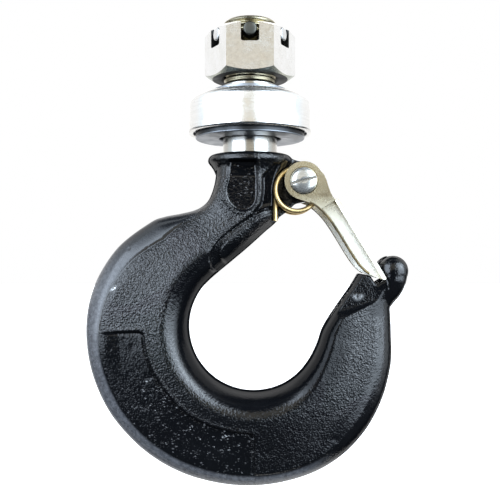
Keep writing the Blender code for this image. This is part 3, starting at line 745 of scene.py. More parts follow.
def forging_body():
    """The bar of the hook, lofted through its sections."""
    points, rings = [], []
    for ix, iz, ox, oz, half, roundness, ridge, rim in spline(body_rows(), 8):
        across = Vector((ox - ix, 0, oz - iz))
        width = across.length
        across.normalize()
        outline = section(width, half, min(max(roundness, 0), 1), ridge, rim)
        ring = [(ix + across.x * u, -v, iz + across.z * u) for u, v in outline]
        ring += [(ix + across.x * u, v, iz + across.z * u) for u, v in outline[-2:0:-1]]
        rings.append(range(len(points), len(points) + len(ring)))
        points += ring
    faces = ring_faces(rings) + [tuple(rings[0]), tuple(reversed(rings[-1]))]
    return mesh_object("hook_forging", points, faces)


def add_collar(body):
    radius, fillet = 19.3, 2.4
    core = radius - fillet
    profile = [(0, COLLAR_TOP), (13.2, COLLAR_TOP), (core, COLLAR_TOP)]
    profile += [(core + fillet * math.sin(t), COLLAR_TOP - fillet + fillet * math.cos(t))
                for t in np.linspace(0.15, QUARTER, 8)]
    # inset from the collar's radius, drop below its top
    profile += [(radius - inset, COLLAR_TOP - drop) for inset, drop in (
        (0, 2.9), (0.35, 3.7), (1.2, 4.7), (2.2, 6.0))]
    profile += [(16.3, COLLAR_TOP - 7.6), (15.6, -71.0), (14.0, -73.5), (0, -73.5)]
    boolean(body, turned("stem", profile, 96), "UNION")


def add_ear(body):
    """The lug that carries the latch pivot."""
    outline = [(4.0, -62.0), (13.0, -61.5)]
    outline += spline([(13.0, -61.5), (17.5, -62.2), (21.0, -63.6), (25.3, -64.3)])[1:-1]
    outline += arc(PIVOT_X, PIVOT_Z, 9.2, 82, -88, 30)
    outline += [(20.6, -83.4), (17.0, -86.8), (12.4, -90.0), (4.0, -92.0)]
    boolean(body, plate("ear", outline, -3.7, 3.7), "UNION")


def add_nose(body):
    """The drum across the tip, and the root that runs down from it into the tip."""
    nose = turned("nose", drum_profile(radius=6.9, half_length=10.1, corner=6.0), 48,
                  centre=(64.9, -113.9), axis="Y")
    boolean(body, nose, "UNION")
    for x, z, radius, half_length, corner in spline(NOSE_ROOT, 3):
        profile = drum_profile(radius, half_length, corner)
        boolean(body, turned("root", profile, 40, centre=(x, z), axis="Y"), "UNION")


def cut_pockets(body):
    """A pocket in each side of the tip, with a sloping floor, and the flat on the nose."""
    stop = LATCH_WEB + 0.4
    upper = [latch_point(57.4, stop), latch_point(40.0, stop), (30.0, -100.0), (22.0, -120.0)]
    last = len(POCKET_LINE) - 1
    for side in (-1, 1):
        outlines = []
        for y, shift in ((8.15, 0.0), (20.0, 6.4)):
            outline = []
            for k, (x, z) in enumerate(POCKET_LINE):
                fade = min(1.0, (last - k) / 4)
                outline.append((x + 0.33 * shift * fade, side * y, z - 0.94 * shift * fade))
            outlines.append(outline + [(x, side * y, z) for x, z in upper])
        boolean(body, prism("pocket", *outlines))
    flat = [latch_point(along, normal)
            for along, normal in ((40, stop), (57, stop), (57, stop - 6), (40, stop - 6))]
    boolean(body, plate("nose_flat", flat, -20, 20))


def cut_spring_room(body):
    """Room for the coil on each side of the ear, and the pivot's bore."""
    reach = 11.2
    floor_z = -92.4
    room = [(COIL_X - reach, COIL_Z)] + arc(COIL_X, COIL_Z, reach, 174, -60, 40)
    room += [(20.0, floor_z), (COIL_X - reach, floor_z)]
    for y0, y1 in ((-22.0, -3.8), (3.8, 22.0)):
        boolean(body, plate("room", room, y0, y1))
    profile = [(0, -20), (3.55, -20), (3.55, 20), (0, 20)]
    boolean(body, turned("bore", profile, 48, centre=(PIVOT_X, PIVOT_Z), axis="Y"))


def relax(mesh, times=6, factor=0.5):
    """Smooth by moving vertices towards and away from their neighbours in turn."""
    count = len(mesh.vertices)
    edges = np.empty(len(mesh.edges) * 2, np.int64)
    mesh.edges.foreach_get("vertices", edges)
    start, end = edges.reshape(-1, 2).T
    points = np.empty(count * 3)
    mesh.vertices.foreach_get("co", points)
    points = points.reshape(-1, 3)
    degree = np.bincount(edges, minlength=count).astype(float)[:, None]
    for k in range(times):
        step = factor if k % 2 == 0 else -factor * 1.03
        total = np.zeros_like(points)
        for axis in range(3):
            total[:, axis] = (np.bincount(start, weights=points[end, axis], minlength=count)
                              + np.bincount(end, weights=points[start, axis], minlength=count))
        points = points + step * (total / degree - points)
    mesh.vertices.foreach_set("co", points.ravel())
    mesh.update()


# ---------------------------------------------------------------- hook forging: skin

SHOULDER_ANGLES = [90, 105, 120, 135, 150, 170, 190]
SHOULDER_RADII = [40.5, 41.0, 40.6, 40.0, 39.6, 39.4, 39.2]
# Outlines (x, z) of the features on the neck.
PAD = [(-8.9, -65.4), (-9.2, -70.0)] + spline([
    (-9.2, -70.0), (-9.9, -74.0), (-10.7, -78.0), (-10.3, -81.4), (-8.6, -84.4), (-5.6, -86.6),
    (-2.2, -87.1), (0.8, -85.9), (2.6, -83.0), (3.2, -79.0), (3.1, -73.0), (2.8, -68.6),
], 6)[1:] + [(2.6, -65.4)]
NECK_FLAT = [
    (5.6, -72.0), (11.0, -66.3), (16.0, -66.3), (16.0, -85.5), (6.5, -86.6), (2.0, -88.6),
    (1.4, -87.8), (4.6, -84.2), (5.6, -79.0),
]
SPEAR = spline([
    (10.6, -84.9), (5.5, -86.7), (0.6, -89.2), (-4.6, -92.7), (-9.9, -96.7), (-14.2, -100.6),
    (-16.6, -104.2), (-17.4, -107.6),
]) + [(-17.0, -112.0), (-8.0, -120.0), (20.0, -108.0), (24.0, -92.0), (13.0, -84.6)]
LEAF = spline([
    (10.6, -87.6), (5.0, -89.6), (-0.2, -92.8), (-5.4, -96.6), (-10.2, -100.8),
    (-12.6, -103.8), (-13.4, -107.2),
]) + [(-10.0, -112.0), (18.0, -104.0), (22.0, -92.0)]


class Skin:
    """Relief and paint masks of the forging, one value per vertex.

    Each feature adds to drop, the depth by which the sides sink towards y = 0, and keeps the
    masks that later steps use.
    """

    def __init__(self, mesh):
        count = len(mesh.vertices)
        points, normals = np.empty(count * 3), np.empty(count * 3)
        mesh.vertices.foreach_get("co", points)
        mesh.vertex_normals.foreach_get("vector", normals)
        self.points = points.reshape(-1, 3) / MM
        self.normals = normals.reshape(-1, 3)
        self.x, self.y, self.z = self.points.T
        self.side = np.sign(self.y)
        self.drop = np.zeros(count)
        # how squarely the surface faces the sides, and three masks from it
        self.facing = np.abs(self.normals[:, 1])
        self.face = ramp(self.facing, 0.45, 0.75)
        self.neck_face = ramp(self.facing, 0.30, 0.55)
        self.flank = ramp(self.facing, 0.12, 0.4)
        # polar coordinates about the bowl, with angles from 80 to 440 degrees
        dx, dz = self.x - BOWL_X, self.z - BOWL_Z
        self.radius = np.hypot(dx, dz)
        angle = np.degrees(np.arctan2(dz, dx)) % 360
        self.angle = np.where(angle < 80, angle + 360, angle)
        stations = np.array(BOWL_STATIONS)
        self.outer = np.interp(self.angle, stations[:, 0], stations[:, 2])
        self.rim = rim_width(self.angle)
        self.past_crease = self.radius - (self.outer - self.rim)
        self.rim_zone = (ramp(self.past_crease, -0.6, 0.6) * ramp(self.angle, 106, 130)
                         * fall(self.angle, 286, 306))

    def sink_panel(self):
        """Panel on the lower left of the bowl, open towards the rim."""
        angle, radius = self.angle, self.radius
        self.panel_inner = 48.4 - 1.2 * ramp(angle, 185, 225) - 1.6 * ramp(angle, 225, 262)
        top = np.where(angle < 235, (-140.6 - self.z) + 0.04 * (self.x + 50), 60.0)
        right = np.where(angle > 215, 2.0 - self.x, 60.0)
        distance = soft_min(soft_min(radius - self.panel_inner, top), right)
        in_range = (angle > 150) & (angle < 300)
        to_rim = -self.past_crease
        over_rim = ramp((self.outer - radius) / self.rim, 0.0, 1.0)
        over = np.where(to_rim > 0, self.face, over_rim)
        self.panel = wall(distance, 0.9) * in_range * over
        start = 1 - fall(to_rim, 1.0, 8.5) * fall(angle, 186, 204)
        depth = 0.65 + 1.35 * np.clip(to_rim / 17.0, 0, 1)
        self.drop += depth * self.panel * (0.06 + 0.94 * start)
        # raised lip outside the wall and a groove at its foot
        near = in_range * self.face * (to_rim > 0.5) * start
        self.drop -= 0.30 * bell(distance + 1.1, 0.8) * near
        self.drop += 0.35 * bell(distance - 0.5, 0.6) * near

    def groove_bowl(self):
        """Groove along the rim's crease, and the shoulder inside the ridge, upper left."""
        angle = self.angle
        self.drop += (0.55 * bell(self.past_crease, 1.5) * ramp(angle, 112, 124)
                      * fall(angle, 160, 185) * self.face)
        shoulder = np.interp(angle, SHOULDER_ANGLES, SHOULDER_RADII)
        self.drop += (0.55 * bell(self.radius - shoulder + 3.2, 1.9) * ramp(angle, 100, 118)
                      * fall(angle, 176, 200) * self.face)

    def shape_neck(self):
        """Shield-shaped pad, and the flat to its right under the collar."""
        x, z, neck_face = self.x, self.z, self.neck_face
        thickness = np.abs(self.y)
        distance = signed_distance(x, z, PAD)
        self.pad = wall(distance, 0.9) * neck_face
        self.drop += (np.clip(thickness - 13.7 - 0.05 * (z + 75), 0.65, 3)
                      * wall(distance, 0.8) * neck_face)
        self.drop -= 0.50 * bell(distance + 0.9, 0.7) * neck_face * (z > -90)
        distance = signed_distance(x, z, NECK_FLAT)
        self.flat = wall(distance, 0.9)
        self.drop += (np.clip(thickness - 11.4 - 0.09 * (z + 66), 0, 5)
                      * self.flat * ramp(self.facing, 0.10, 0.35))
        self.drop -= 0.35 * bell(distance + 0.7, 0.6) * neck_face * (x < 6.5) * (z > -90)

    def sink_spear(self):
        """Spear-shaped recess below the ear, with a raised leaf in it and a lip round it."""
        distance = signed_distance(self.x, self.z, SPEAR)
        leaf = signed_distance(self.x, self.z, LEAF)
        self.drop += wall(distance, 0.7) * self.flank * (1.75 - 1.05 * wall(leaf, 0.8))
        self.spear_lip = (bell(distance + 0.9, 0.7) * self.flank
                          * (self.radius < 62) * (self.z < -84))
        self.leaf_lip = bell(leaf - 0.2, 0.6) * self.flank * (self.z < -86)
        self.drop -= 0.50 * self.spear_lip

    def mark(self):
        """Crescent pip in the tip's pockets, and a gouge at the crease on the -Y face."""
        up = self.z + 125.4
        distance = np.hypot(self.x - 48.2, up * 1.1)
        in_pocket = (np.abs(self.y) < 9.0) & (self.facing > 0.5)
        self.pip = bell(distance - 1.4, 0.7) * fall(up, 0.2, 1.6) * in_pocket
        self.drop -= 0.85 * self.pip
        dx, dz = self.x + 60.6, self.z + 121.6
        along, across = dx * 0.80 + dz * 0.60, -dx * 0.60 + dz * 0.80
        front = self.face * (self.side < 0)
        self.drop += 0.8 * bell(along, 1.5) * bell(across, 0.65) * front
        self.bright_spot = bell(along, 1.3) * bell(across, 0.55) * front

    def dent(self):
        """Small dents scattered over the bowl."""
        random = np.random.default_rng(7)
        for _ in range(60):
            angle = math.radians(random.uniform(140, 330))
            radius = random.uniform(42, 70)
            x, z = BOWL_X + radius * math.cos(angle), BOWL_Z + radius * math.sin(angle)
            distance = np.hypot((self.x - x) * random.uniform(0.6, 1.4), self.z - z)
            side = 1 if random.uniform() < 0.5 else -1
            width = random.uniform(0.6, 1.4)
            depth = random.uniform(0.05, 0.18)
            self.drop += depth * bell(distance, width) * self.face * (self.side == side)

    def wave(self, length, seed):
        """Sum of plane waves of about this length in random directions."""
        random = np.random.default_rng(seed)
        count = 14
        total = np.zeros(len(self.points))
        for _ in range(count):
            way = random.normal(size=3)
            way /= np.linalg.norm(way)
            total += np.sin(2 * math.pi * (self.points @ way) / (length * random.uniform(0.7, 1.5))
                            + random.uniform(0, 6.28))
        return total / math.sqrt(count)

    def displaced(self):
        """The points, sunk by the features and made gently uneven."""
        skin = (1 - self.rim_zone) * (self.z < -70) * ramp(self.facing, 0.1, 0.5)
        fine = 0.014 + 0.012 * self.panel * ramp(self.angle, 200, 225)
        uneven = (0.040 * self.wave(16.0, 3) + 0.008 * self.wave(5.0, 4) * skin
                  + fine * self.wave(2.1, 5) * skin)
        # the ear, the bore and the collar's top stay true
        uneven = uneven * ramp(np.hypot(self.x - PIVOT_X, self.z - PIVOT_Z), 12, 14)
        uneven = uneven * ramp(COLLAR_TOP - self.z, 0.0, 1.0)
        points = self.points - self.normals * uneven[:, None]
        points[:, 1] -= self.side * self.drop
        return points

    def tip_pocket(self):
        return (ramp(self.x, 34, 38) * fall(self.x, 59.5, 61.5) * ramp(self.z, -137.0, -133.0)
                * fall(np.abs(self.y), 9.0, 9.8))

    def coarseness(self):
        """1 where the cast skin is coarse."""
        smooth_side = ramp(self.angle, 296, 312) * ramp(self.radius, 54, 58)
        cast = ((1 - self.rim_zone) * (1 - 0.8 * smooth_side)
                * (0.15 + 0.85 * ramp(self.facing, 0.35, 0.8))
                * (1 - 0.72 * fall(self.radius, 35.0, 44.0)))
        cast = np.where(self.z > -72, np.where(self.x > 3.5, 0.8, 0.35) * cast, cast)
        cast = np.where(self.panel > 0.5, 0.42, cast)
        cast = cast * (1 - 0.7 * self.pad) * (1 - 0.75 * self.flat * (self.z > -90))
        return np.clip(cast * (1 - 0.5 * self.tip_pocket()), 0, 1)

    def rim_sheen_mask(self):
        """1 on the rim, where the enamel is painted lighter grey as sheen and made rougher."""
        angle = self.angle
        return (ramp(self.past_crease, 0.2, 2.0) * fall(angle, 285, 305)
                * ramp(self.radius, 50, 54) * ramp(angle, 108, 122)
                * (0.10 + 0.90 * ramp(angle, 138, 172)))

    def painted_shade(self):
        """1 where the enamel's reflection is cut down as painted shade."""
        x, z, radius, angle, facing = self.x, self.z, self.radius, self.angle, self.facing
        nx, _, nz = self.normals.T
        # rolled over towards the bowl's opening
        inward = -(nx * (x - BOWL_X) + nz * (z - BOWL_Z)) / np.maximum(radius, 1.0)
        roll = ramp(inward, 0.48, 0.80) * (z < -84)
        # the pockets' sloping floors
        to_floor = np.full(len(x), 99.0)
        for start, end in zip(POCKET_LINE, POCKET_LINE[1:]):
            to_floor = np.minimum(to_floor, segment_distance(x, z, start, end))
        floor_up = (nz > 0.22) & (np.abs(self.y) > 8.0) & (facing > 0.15) & (facing < 0.97)
        right = ramp(angle, 296, 318)
        roll = np.maximum(roll, fall(to_floor, 2.6, 3.8) * floor_up)
        # upper inner edge of the bowl, and the walls of the pockets
        roll = np.maximum(roll, 0.85 * fall(radius, 39.5, 43.5) * ramp(angle, 92, 106)
                          * fall(angle, 150, 168))
        roll = np.maximum(roll, 0.45 * self.tip_pocket() * (facing > 0.5))
        # the lips round the spear and leaf stay bright
        roll = roll * (1 - 0.85 * np.clip(self.spear_lip + self.leaf_lip, 0, 1))
        # the tip's inner side, the panel, then the right and the bottom of the bowl
        roll = np.maximum(roll, ramp(-nx, 0.10, 0.40) * ramp(x, 28, 35) * fall(x, 57.0, 58.5)
                          * (z < -112) * ramp(z, -150, -142))
        roll = np.maximum(roll, 0.42 * self.panel)
        roll = np.maximum(roll, right * (0.62 * fall(radius, 38.5, 47.0)
                                         + 0.30 * fall(radius, 34.0, 38.0)))
        return np.maximum(roll, 0.30 * ramp(angle, 232, 258) * fall(angle, 300, 330)
                          * (radius > 44))

    def pitting(self):
        """How gritty the paint is: most in the panel, a little in the pockets and pad."""
        past_inner = self.radius - self.panel_inner
        panel = (self.panel * (0.25 + 0.75 * ramp(self.angle, 196, 212))
                 * (0.42 + 0.58 * fall(past_inner, 6.0, 13.0)))
        return np.clip(panel + 0.12 * self.tip_pocket() + 0.25 * self.pad, 0, 1)

    def attributes(self):
        # painted highlight: the pip on the -Y side takes a share of the bright spot colour
        bright_spot = self.bright_spot + 0.22 * self.pip * (self.side < 0)
        return {"roll": self.painted_shade(), "bright_spot": np.clip(bright_spot * 1.3, 0, 1),
                "cast": self.coarseness(), "rim": self.rim_sheen_mask(), "pitted": self.pitting()}


def make_forging():
    body = forging_body()
    for shape in (add_collar, add_ear, add_nose, cut_pockets, cut_spring_room):
        shape(body)
    remesh = body.modifiers.new("voxels", "REMESH")
    remesh.mode = "VOXEL"
    remesh.voxel_size = 0.55 * MM
    remesh.adaptivity = 0.0
    remesh.use_smooth_shade = True
    bake(body)
    mesh = body.data
    relax(mesh)
    skin = Skin(mesh)
    skin.sink_panel()
    skin.groove_bowl()
    skin.shape_neck()
    skin.sink_spear()
    skin.mark()
    skin.dent()
    mesh.vertices.foreach_set("co", (skin.displaced() * MM).ravel())
    mesh.update()
    for name, values in skin.attributes().items():
        attribute = mesh.attributes.new(name, "FLOAT", "POINT")
        attribute.data.foreach_set("value", values.astype(np.float32))
    mesh.shade_smooth()
    coat(body, PAINT)
    return body


fit(make_forging(), "hook", "hook_shank")

# ---------------------------------------------------------------- turned shank and thread

# (radius, z) of the rings above and below the thread.
SHANK_END = [(2.0, 0.0), (5.0, 0.0), (8.0, 0.0), (10.4, 0.0),
             (11.0, -0.06), (11.6, -0.55), (11.95, -1.0)]
SHANK_BODY = [(11.5, -27.6), (11.4, -28.2), (12.2, -28.9), (12.46, -29.4), (12.5, -30.0),
              (12.5, -38.0), (12.5, -46.0), (12.5, -54.0), (12.5, -60.8), (12.5, -63.0)]
THREAD_RADIUS, THREAD_PITCH, THREAD_DEPTH = 12.0, 3.0, 1.55
THREAD_START, THREAD_STEP, THREAD_RINGS = -1.25, 0.25, 104


def thread_radius(z, angle):
    phase = (z / THREAD_PITCH + angle / (2 * math.pi)) % 1.0
    slope = abs(2 * phase - 1)                     # 1 at the root
    depth = THREAD_DEPTH * min(max((slope - 0.10) / 0.80, 0), 1)
    # the thread runs out at both ends
    fade = min(1.0, max(0.0, (-1.0 - z) / 1.8)) * min(1.0, max(0.0, (z + 27.6) / 2.2))
    return THREAD_RADIUS - depth * fade


def make_shank():
    segments = 144
    angles = [2 * math.pi * k / segments for k in range(segments)]
    points, rings = [], []

    def add_ring(z, radii):
        rings.append(range(len(points), len(points) + len(radii)))
        points.extend((r * math.cos(a), r * math.sin(a), z) for r, a in zip(radii, angles))

    add_ring(0.0, [0.0])
    for radius, z in SHANK_END:
        add_ring(z, [radius] * segments)
    for k in range(THREAD_RINGS):
        z = THREAD_START - THREAD_STEP * k
        add_ring(z, [thread_radius(z, a) for a in angles])
    for radius, z in SHANK_BODY:
        add_ring(z, [radius] * segments)
    add_ring(SHANK_BODY[-1][1], [0.0])
    shank = mesh_object("turned_shank", points, ring_faces(rings), (SHANK, THREAD), angle=40)
    for face in shank.data.polygons:
        z = face.center.z / MM
        radius = math.hypot(face.center.x, face.center.y) / MM
        if (-28.9 < z < -0.02 and radius < 12.3) or (z > -0.6 and radius > 10.3):
            face.material_index = 1
    return shank


fit(make_shank(), "hook", "hook_shank")

# ---------------------------------------------------------------- castle nut and lock pins

NUT_HALF = 18.0                                     # half across the flats
NUT_CORNER = NUT_HALF / math.cos(math.pi / 6)
SLOT_HALF, SLOT_FLOOR, SLOT_TOP = 4.0, -13.4, 5.0
SLOT_ANGLES = [math.radians(60 * k + 90) for k in range(3)]


def column(name, points):
    """Solid from two matching outlines, one after the other."""
    half = len(points) // 2
    rings = [range(half), range(half, 2 * half)]
    return mesh_object(name, points, [tuple(ring) for ring in rings] + ring_faces(rings))


def nut_chamfer():
    """Double cone that trims the hexagon's corners."""
    slope = math.tan(math.radians(30))
    inset = 0.7                                     # inside the flats, where the cone starts
    over = 0.4                                      # beyond the corners
    inner = NUT_HALF - inset - 1 / slope
    outer = NUT_CORNER + over
    fall_off = (NUT_CORNER - NUT_HALF) * slope + (inset + over) * slope
    return turned("chamfer", [
        (0, NUT_TOP + 1), (inner, NUT_TOP + 1), (outer, NUT_TOP - fall_off),
        (outer, NUT_BOTTOM + fall_off), (inner, NUT_BOTTOM - 1), (0, NUT_BOTTOM - 1)], 180)


def nut_slot(angle):
    """Tool for two opposite slots, with rounded lower corners."""
    c, s = math.cos(angle), math.sin(angle)
    half = [(SLOT_HALF, SLOT_TOP), (SLOT_HALF, SLOT_FLOOR + 0.9),
            (SLOT_HALF - 0.26, SLOT_FLOOR + 0.26), (SLOT_HALF - 0.9, SLOT_FLOOR)]
    outline = half + [(-across, z) for across, z in half[::-1]]
    return column("slot", [(reach * c - across * s, reach * s + across * c, z)
                           for reach in (30, -30) for across, z in outline])


def in_slot_or_bore_shade(face):
    """Whether a face of the nut lies in its bore or on the walls or floor of a slot."""
    centre, normal = face.center / MM, face.normal
    radius = math.hypot(centre.x, centre.y)
    if radius < 12.6 and abs(normal.z) < 0.6 or radius < 13.9 and centre.z < -24.5:
        return True
    for angle in SLOT_ANGLES:
        c, s = math.cos(angle), math.sin(angle)
        across = -centre.x * s + centre.y * c
        sideways = -normal.x * s + normal.y * c
        if abs(across) < 4.05 and centre.z > -13.6 and (
                abs(sideways) > 0.6 or (normal.z > 0.6 and centre.z < -5.5)):
            return True
    return False


def make_nut():
    corners = [math.radians(60 * k) for k in range(6)]
    nut = column("castle_nut_body", [(NUT_CORNER * math.cos(a), NUT_CORNER * math.sin(a), z)
                                     for z in (NUT_BOTTOM, NUT_TOP) for a in corners])
    boolean(nut, nut_chamfer(), "INTERSECT")
    boolean(nut, turned("bore", [(0, 10), (12.3, 10), (12.3, -40), (0, -40)], 120))
    for z, way in ((NUT_TOP, 1), (NUT_BOTTOM, -1)):
        outside, inside = z + way * 0.5, z - way * 1.2
        sink = [(0, outside), (13.7, outside), (12.0, inside), (0, inside)]
        boolean(nut, turned("sink", sink, 120))
    for angle in SLOT_ANGLES:
        boolean(nut, nut_slot(angle))
    bevel(nut, width=0.28, segments=3, angle=24)
    coat(nut, NUT, SLOT)
    # painted shade: the bore, the bottom sink and the slots take the near-black material
    for face in nut.data.polygons:
        if in_slot_or_bore_shade(face):
            face.material_index = 1
    return nut


def make_lock_pin(name, degrees, material):
    """Radial pin with a domed outer end."""
    inner, outer, pin_radius, pin_z, sides = 8.4, 17.85, 3.0, -7.75, 48
    # distance from the shank's axis, radius
    profile = [
        (inner, 0.0), (inner, pin_radius - 0.4), (inner + 0.12, pin_radius - 0.15),
        (inner + 0.5, pin_radius), (outer - 0.75, pin_radius), (outer - 0.40, pin_radius - 0.08),
        (outer - 0.22, pin_radius - 0.35), (outer - 0.10, pin_radius - 0.8),
        (outer - 0.03, pin_radius - 1.6), (outer, 0.5), (outer, 0.0)]
    turn = math.radians(degrees)
    out = Vector((math.cos(turn), math.sin(turn), 0))
    side = Vector((-math.sin(turn), math.cos(turn), 0))
    points, rings = [], []
    for distance, radius in profile:
        count = sides if radius else 1
        rings.append(range(len(points), len(points) + count))
        for k in range(count):
            t = 2 * math.pi * k / sides
            rise = Vector((0, 0, pin_z + radius * math.sin(t)))
            points.append(tuple(out * distance + side * (radius * math.cos(t)) + rise))
    return mesh_object(name, points, ring_faces(rings), (material,), angle=50)


fit(make_nut(), "hook", "castle_nut")
# the front pin takes the dark copy, a painted shade; the others the bright pin steel
for k in range(6):
    pin = make_lock_pin(f"lock_dowel_{k + 1}", 60 * k - 90, PIN if k == 0 else PIN_BRIGHT)
    fit(pin, "hook", f"lock_pin_{k + 1}")

# ---------------------------------------------------------------- thrust bearing


def groove(edge, sign, radius=4.3, steps=10):
    """Ball track between its two crossings of the race's face at this height."""
    reach = math.acos(abs(edge - BALL_Z) / radius)
    angles = [-reach + 2 * reach * k / steps for k in range(steps + 1)]
    return [(BALL_CIRCLE + radius * math.sin(a), BALL_Z + sign * radius * math.cos(a))
            for a in angles]


def make_shroud():
    radius, sheet, corner, lip_radius = 28.5, 1.4, 4.5, 1.1
    top, rim = -34.5, -51.5
    middle = radius - corner
    outer = [(middle + corner * math.sin(t), top - corner + corner * math.cos(t))
             for t in np.linspace(0, QUARTER, 16)]
    inner = [(middle + (corner - sheet) * math.sin(t), top - corner
              + (corner - sheet) * math.cos(t)) for t in np.linspace(0, QUARTER, 10)]
    lip = [(radius - lip_radius + lip_radius * math.cos(t),
            rim + lip_radius - lip_radius * math.sin(t)) for t in np.linspace(0, QUARTER, 8)]
    profile = [(17.8, top - 0.3), (18.1, top)] + outer + lip
    profile += [(26.4, rim), (26.1, rim + 0.25), (26.1, rim + 0.7), (26.4, rim + 0.95),
                (26.9, rim + 1.2), (radius - sheet, rim + 1.6)]
    profile += inner[::-1] + [(18.1, top - sheet), (17.8, top - sheet + 0.3)]
    shroud = turned("bearing_shroud", profile, 192, (COVER,), angle=40)
    true_flats(shroud)
    return shroud


def make_upper_race():
    face = -43.1
    profile = [(12.8, -31.9), (13.2, -31.5), (16.9, -31.5), (17.35, -31.68), (17.5, -32.1),
               (17.5, -36.2), (22.8, -36.2), (25.0, -38.6), (25.0, face)]
    profile += groove(face, 1)[::-1] + [(12.8, face)]
    race = turned("shaft_race", profile, 160, (RACE,), angle=40)
    true_flats(race)
    return race


def make_lower_race():
    face = -49.3
    profile = [(14.9, -53.8), (14.4, -53.65), (14.0, -53.0), (14.0, face)] + groove(face, -1)
    profile += [(26.6, face), (26.6, -50.0), (26.4, -50.15), (25.0, -50.2), (25.0, -53.15),
                (24.8, -53.6), (24.35, -53.8)]
    race = turned("housing_race", profile, 160, (RACE, RACE_WALL_SHADE), angle=40)
    true_flats(race)
    # painted shade: the outer wall takes the near-black material
    for polygon in race.data.polygons:
        outside = math.hypot(polygon.center.x, polygon.center.y) / MM > 24.9
        if outside and abs(polygon.normal.z) < 0.3:
            polygon.material_index = 1
    return race


def make_cage():
    bottom, top = -47.5, -44.9
    cage = turned("ball_cage_ring", [(14.6, bottom), (24.4, bottom), (24.4, top), (14.6, top)],
                  144)
    radius, sides = 4.3, 32
    points, faces = [], []
    for k in range(BALL_COUNT):
        turn = 2 * math.pi * k / BALL_COUNT
        x, y = BALL_CIRCLE * math.cos(turn), BALL_CIRCLE * math.sin(turn)
        start = len(points)
        rings = [range(start, start + sides), range(start + sides, start + 2 * sides)]
        for z in (-52, -40):
            points += [(x + radius * math.cos(t), y + radius * math.sin(t), z)
                       for t in np.linspace(0, 2 * math.pi, sides + 1)[:-1] + turn + 0.05]
        faces += [tuple(reversed(rings[0])), tuple(rings[1])] + ring_faces(rings)
    boolean(cage, mesh_object("holes", points, faces))
    bevel(cage, width=0.25, segments=2, angle=30)
    coat(cage, CAGE)
    return cage


def make_ball(name, turn):
    mesh = bpy.data.meshes.new(name)
    bm = bmesh.new()
    bmesh.ops.create_icosphere(bm, subdivisions=4, radius=3.98 * MM)
    centre = Vector((BALL_CIRCLE * math.cos(turn), BALL_CIRCLE * math.sin(turn), BALL_Z)) * MM
    bmesh.ops.translate(bm, verts=bm.verts, vec=centre)
    bm.to_mesh(mesh)
    bm.free()
    mesh.shade_smooth()
    mesh.materials.append(BALL)
    return add_object(name, mesh)


fit(make_shroud(), "bearing_top", "bearing_cover")
fit(make_upper_race(), "bearing_top", "upper_race")
fit(make_lower_race(), "bearing_base", "lower_race")
fit(make_cage(), "cage", "ball_cage")
for k in range(BALL_COUNT):
    ball = make_ball(f"rolling_ball_{k + 1:02d}", 2 * math.pi * k / BALL_COUNT)
    fit(ball, "cage", f"ball_{k + 1:02d}")

# ---------------------------------------------------------------- latch

# Lower edge of the flanges: along the latch, normal to it.
FLANGE_EDGE = [(11.2, -1.9), (15.0, -0.5), (20.0, 0.5), (27.0, 0.9), (38.0, 0.9), (44.5, 1.2),
               (48.6, 2.1)]


def latch_outline():
    """Side view of the latch: along its length, normal to it."""
    outline = arc(0, 0, 8.6, 90, 308, 48)
    outline += spline([outline[-1], (8.2, -4.2)] + FLANGE_EDGE
                      + [(52.0, 3.9), (54.8, 5.9), (56.4, 7.6), (56.7, 8.6)])[1:]
    outline += [(56.2, LATCH_WEB), (35.0, LATCH_WEB), (15.2, LATCH_WEB),
                (14.9, LATCH_WEB - 0.4), (14.6, 7.9), (14.0, 7.35)]
    return outline + spline([(14.0, 7.35), (11.5, 7.35), (8.0, 8.0), (5.0, 8.75), (2.5, 9.05),
                             (0.4, 8.62)], 4)[1:]


def latch_length(name, profile, start, end):
    """Solid along the latch's length from a (normal, y) profile."""
    return prism(name, *([latch_point_3d(along, normal, y) for normal, y in profile]
                         for along in (start, end)))


def web_opening(start, end, half, radii):
    """Tool through the web between two places along the latch."""
    outline = rounded([(start, -half), (end, -half), (end, half), (start, half)], radii, 8)
    return prism("opening", *([latch_point_3d(along, normal, y) for along, y in outline]
                              for normal in (-14, 20)))


def make_latch():
    half, inner_half = LATCH_HALF, LATCH_HALF - LATCH_SHEET
    bend = 2.0                      # outer bend radius of the sheet
    inner_web, inner_bend = LATCH_WEB - LATCH_SHEET, bend - LATCH_SHEET
    latch = plate("safety_latch", [latch_point(a, n) for a, n in latch_outline()], -half, half)
    channel = rounded([(-20, -half), (LATCH_WEB, -half), (LATCH_WEB, half), (-20, half)],
                      [0, bend, bend, 0], 10)
    outside = latch_length("outside", channel, 14.75, 80)
    over = half + 0.5
    eye_end = [(-20, -over), (20, -over), (20, over), (-20, over)]
    boolean(outside, latch_length("eye_end", eye_end, -20, 14.8), "UNION")
    boolean(latch, outside, "INTERSECT")
    hollow = rounded([(-30, -inner_half), (inner_web, -inner_half), (inner_web, inner_half),
                      (-30, inner_half)], [0, inner_bend, inner_bend, 0], 8)
    boolean(latch, latch_length("inside", hollow, -30, 90))
    # the web is open beside the pivot and over the tip
    corner = 3.2
    boolean(latch, web_opening(-30, 13.5, inner_half, [0, corner, corner, 0]))
    boolean(latch, web_opening(45.3, 90, inner_half, [corner] * 4))
    boolean(latch, turned("eyes", [(0, -20), (6.3, -20), (6.3, 20), (0, 20)], 96,
                          centre=(PIVOT_X, PIVOT_Z), axis="Y"))
    bevel(latch, width=0.22, segments=3, angle=32)
    coat(latch, LATCH)
    return latch


def make_shear_line(name, y):
    """Rusty burr along a flange's lower edge."""
    edge = spline([(9.6, -3.1)] + FLANGE_EDGE + [(50.6, 3.0)])
    path = [latch_point_3d(along, normal + 0.30, y) for along, normal in edge]
    return sweep(name, path, 0.56, 12, SHEARED)


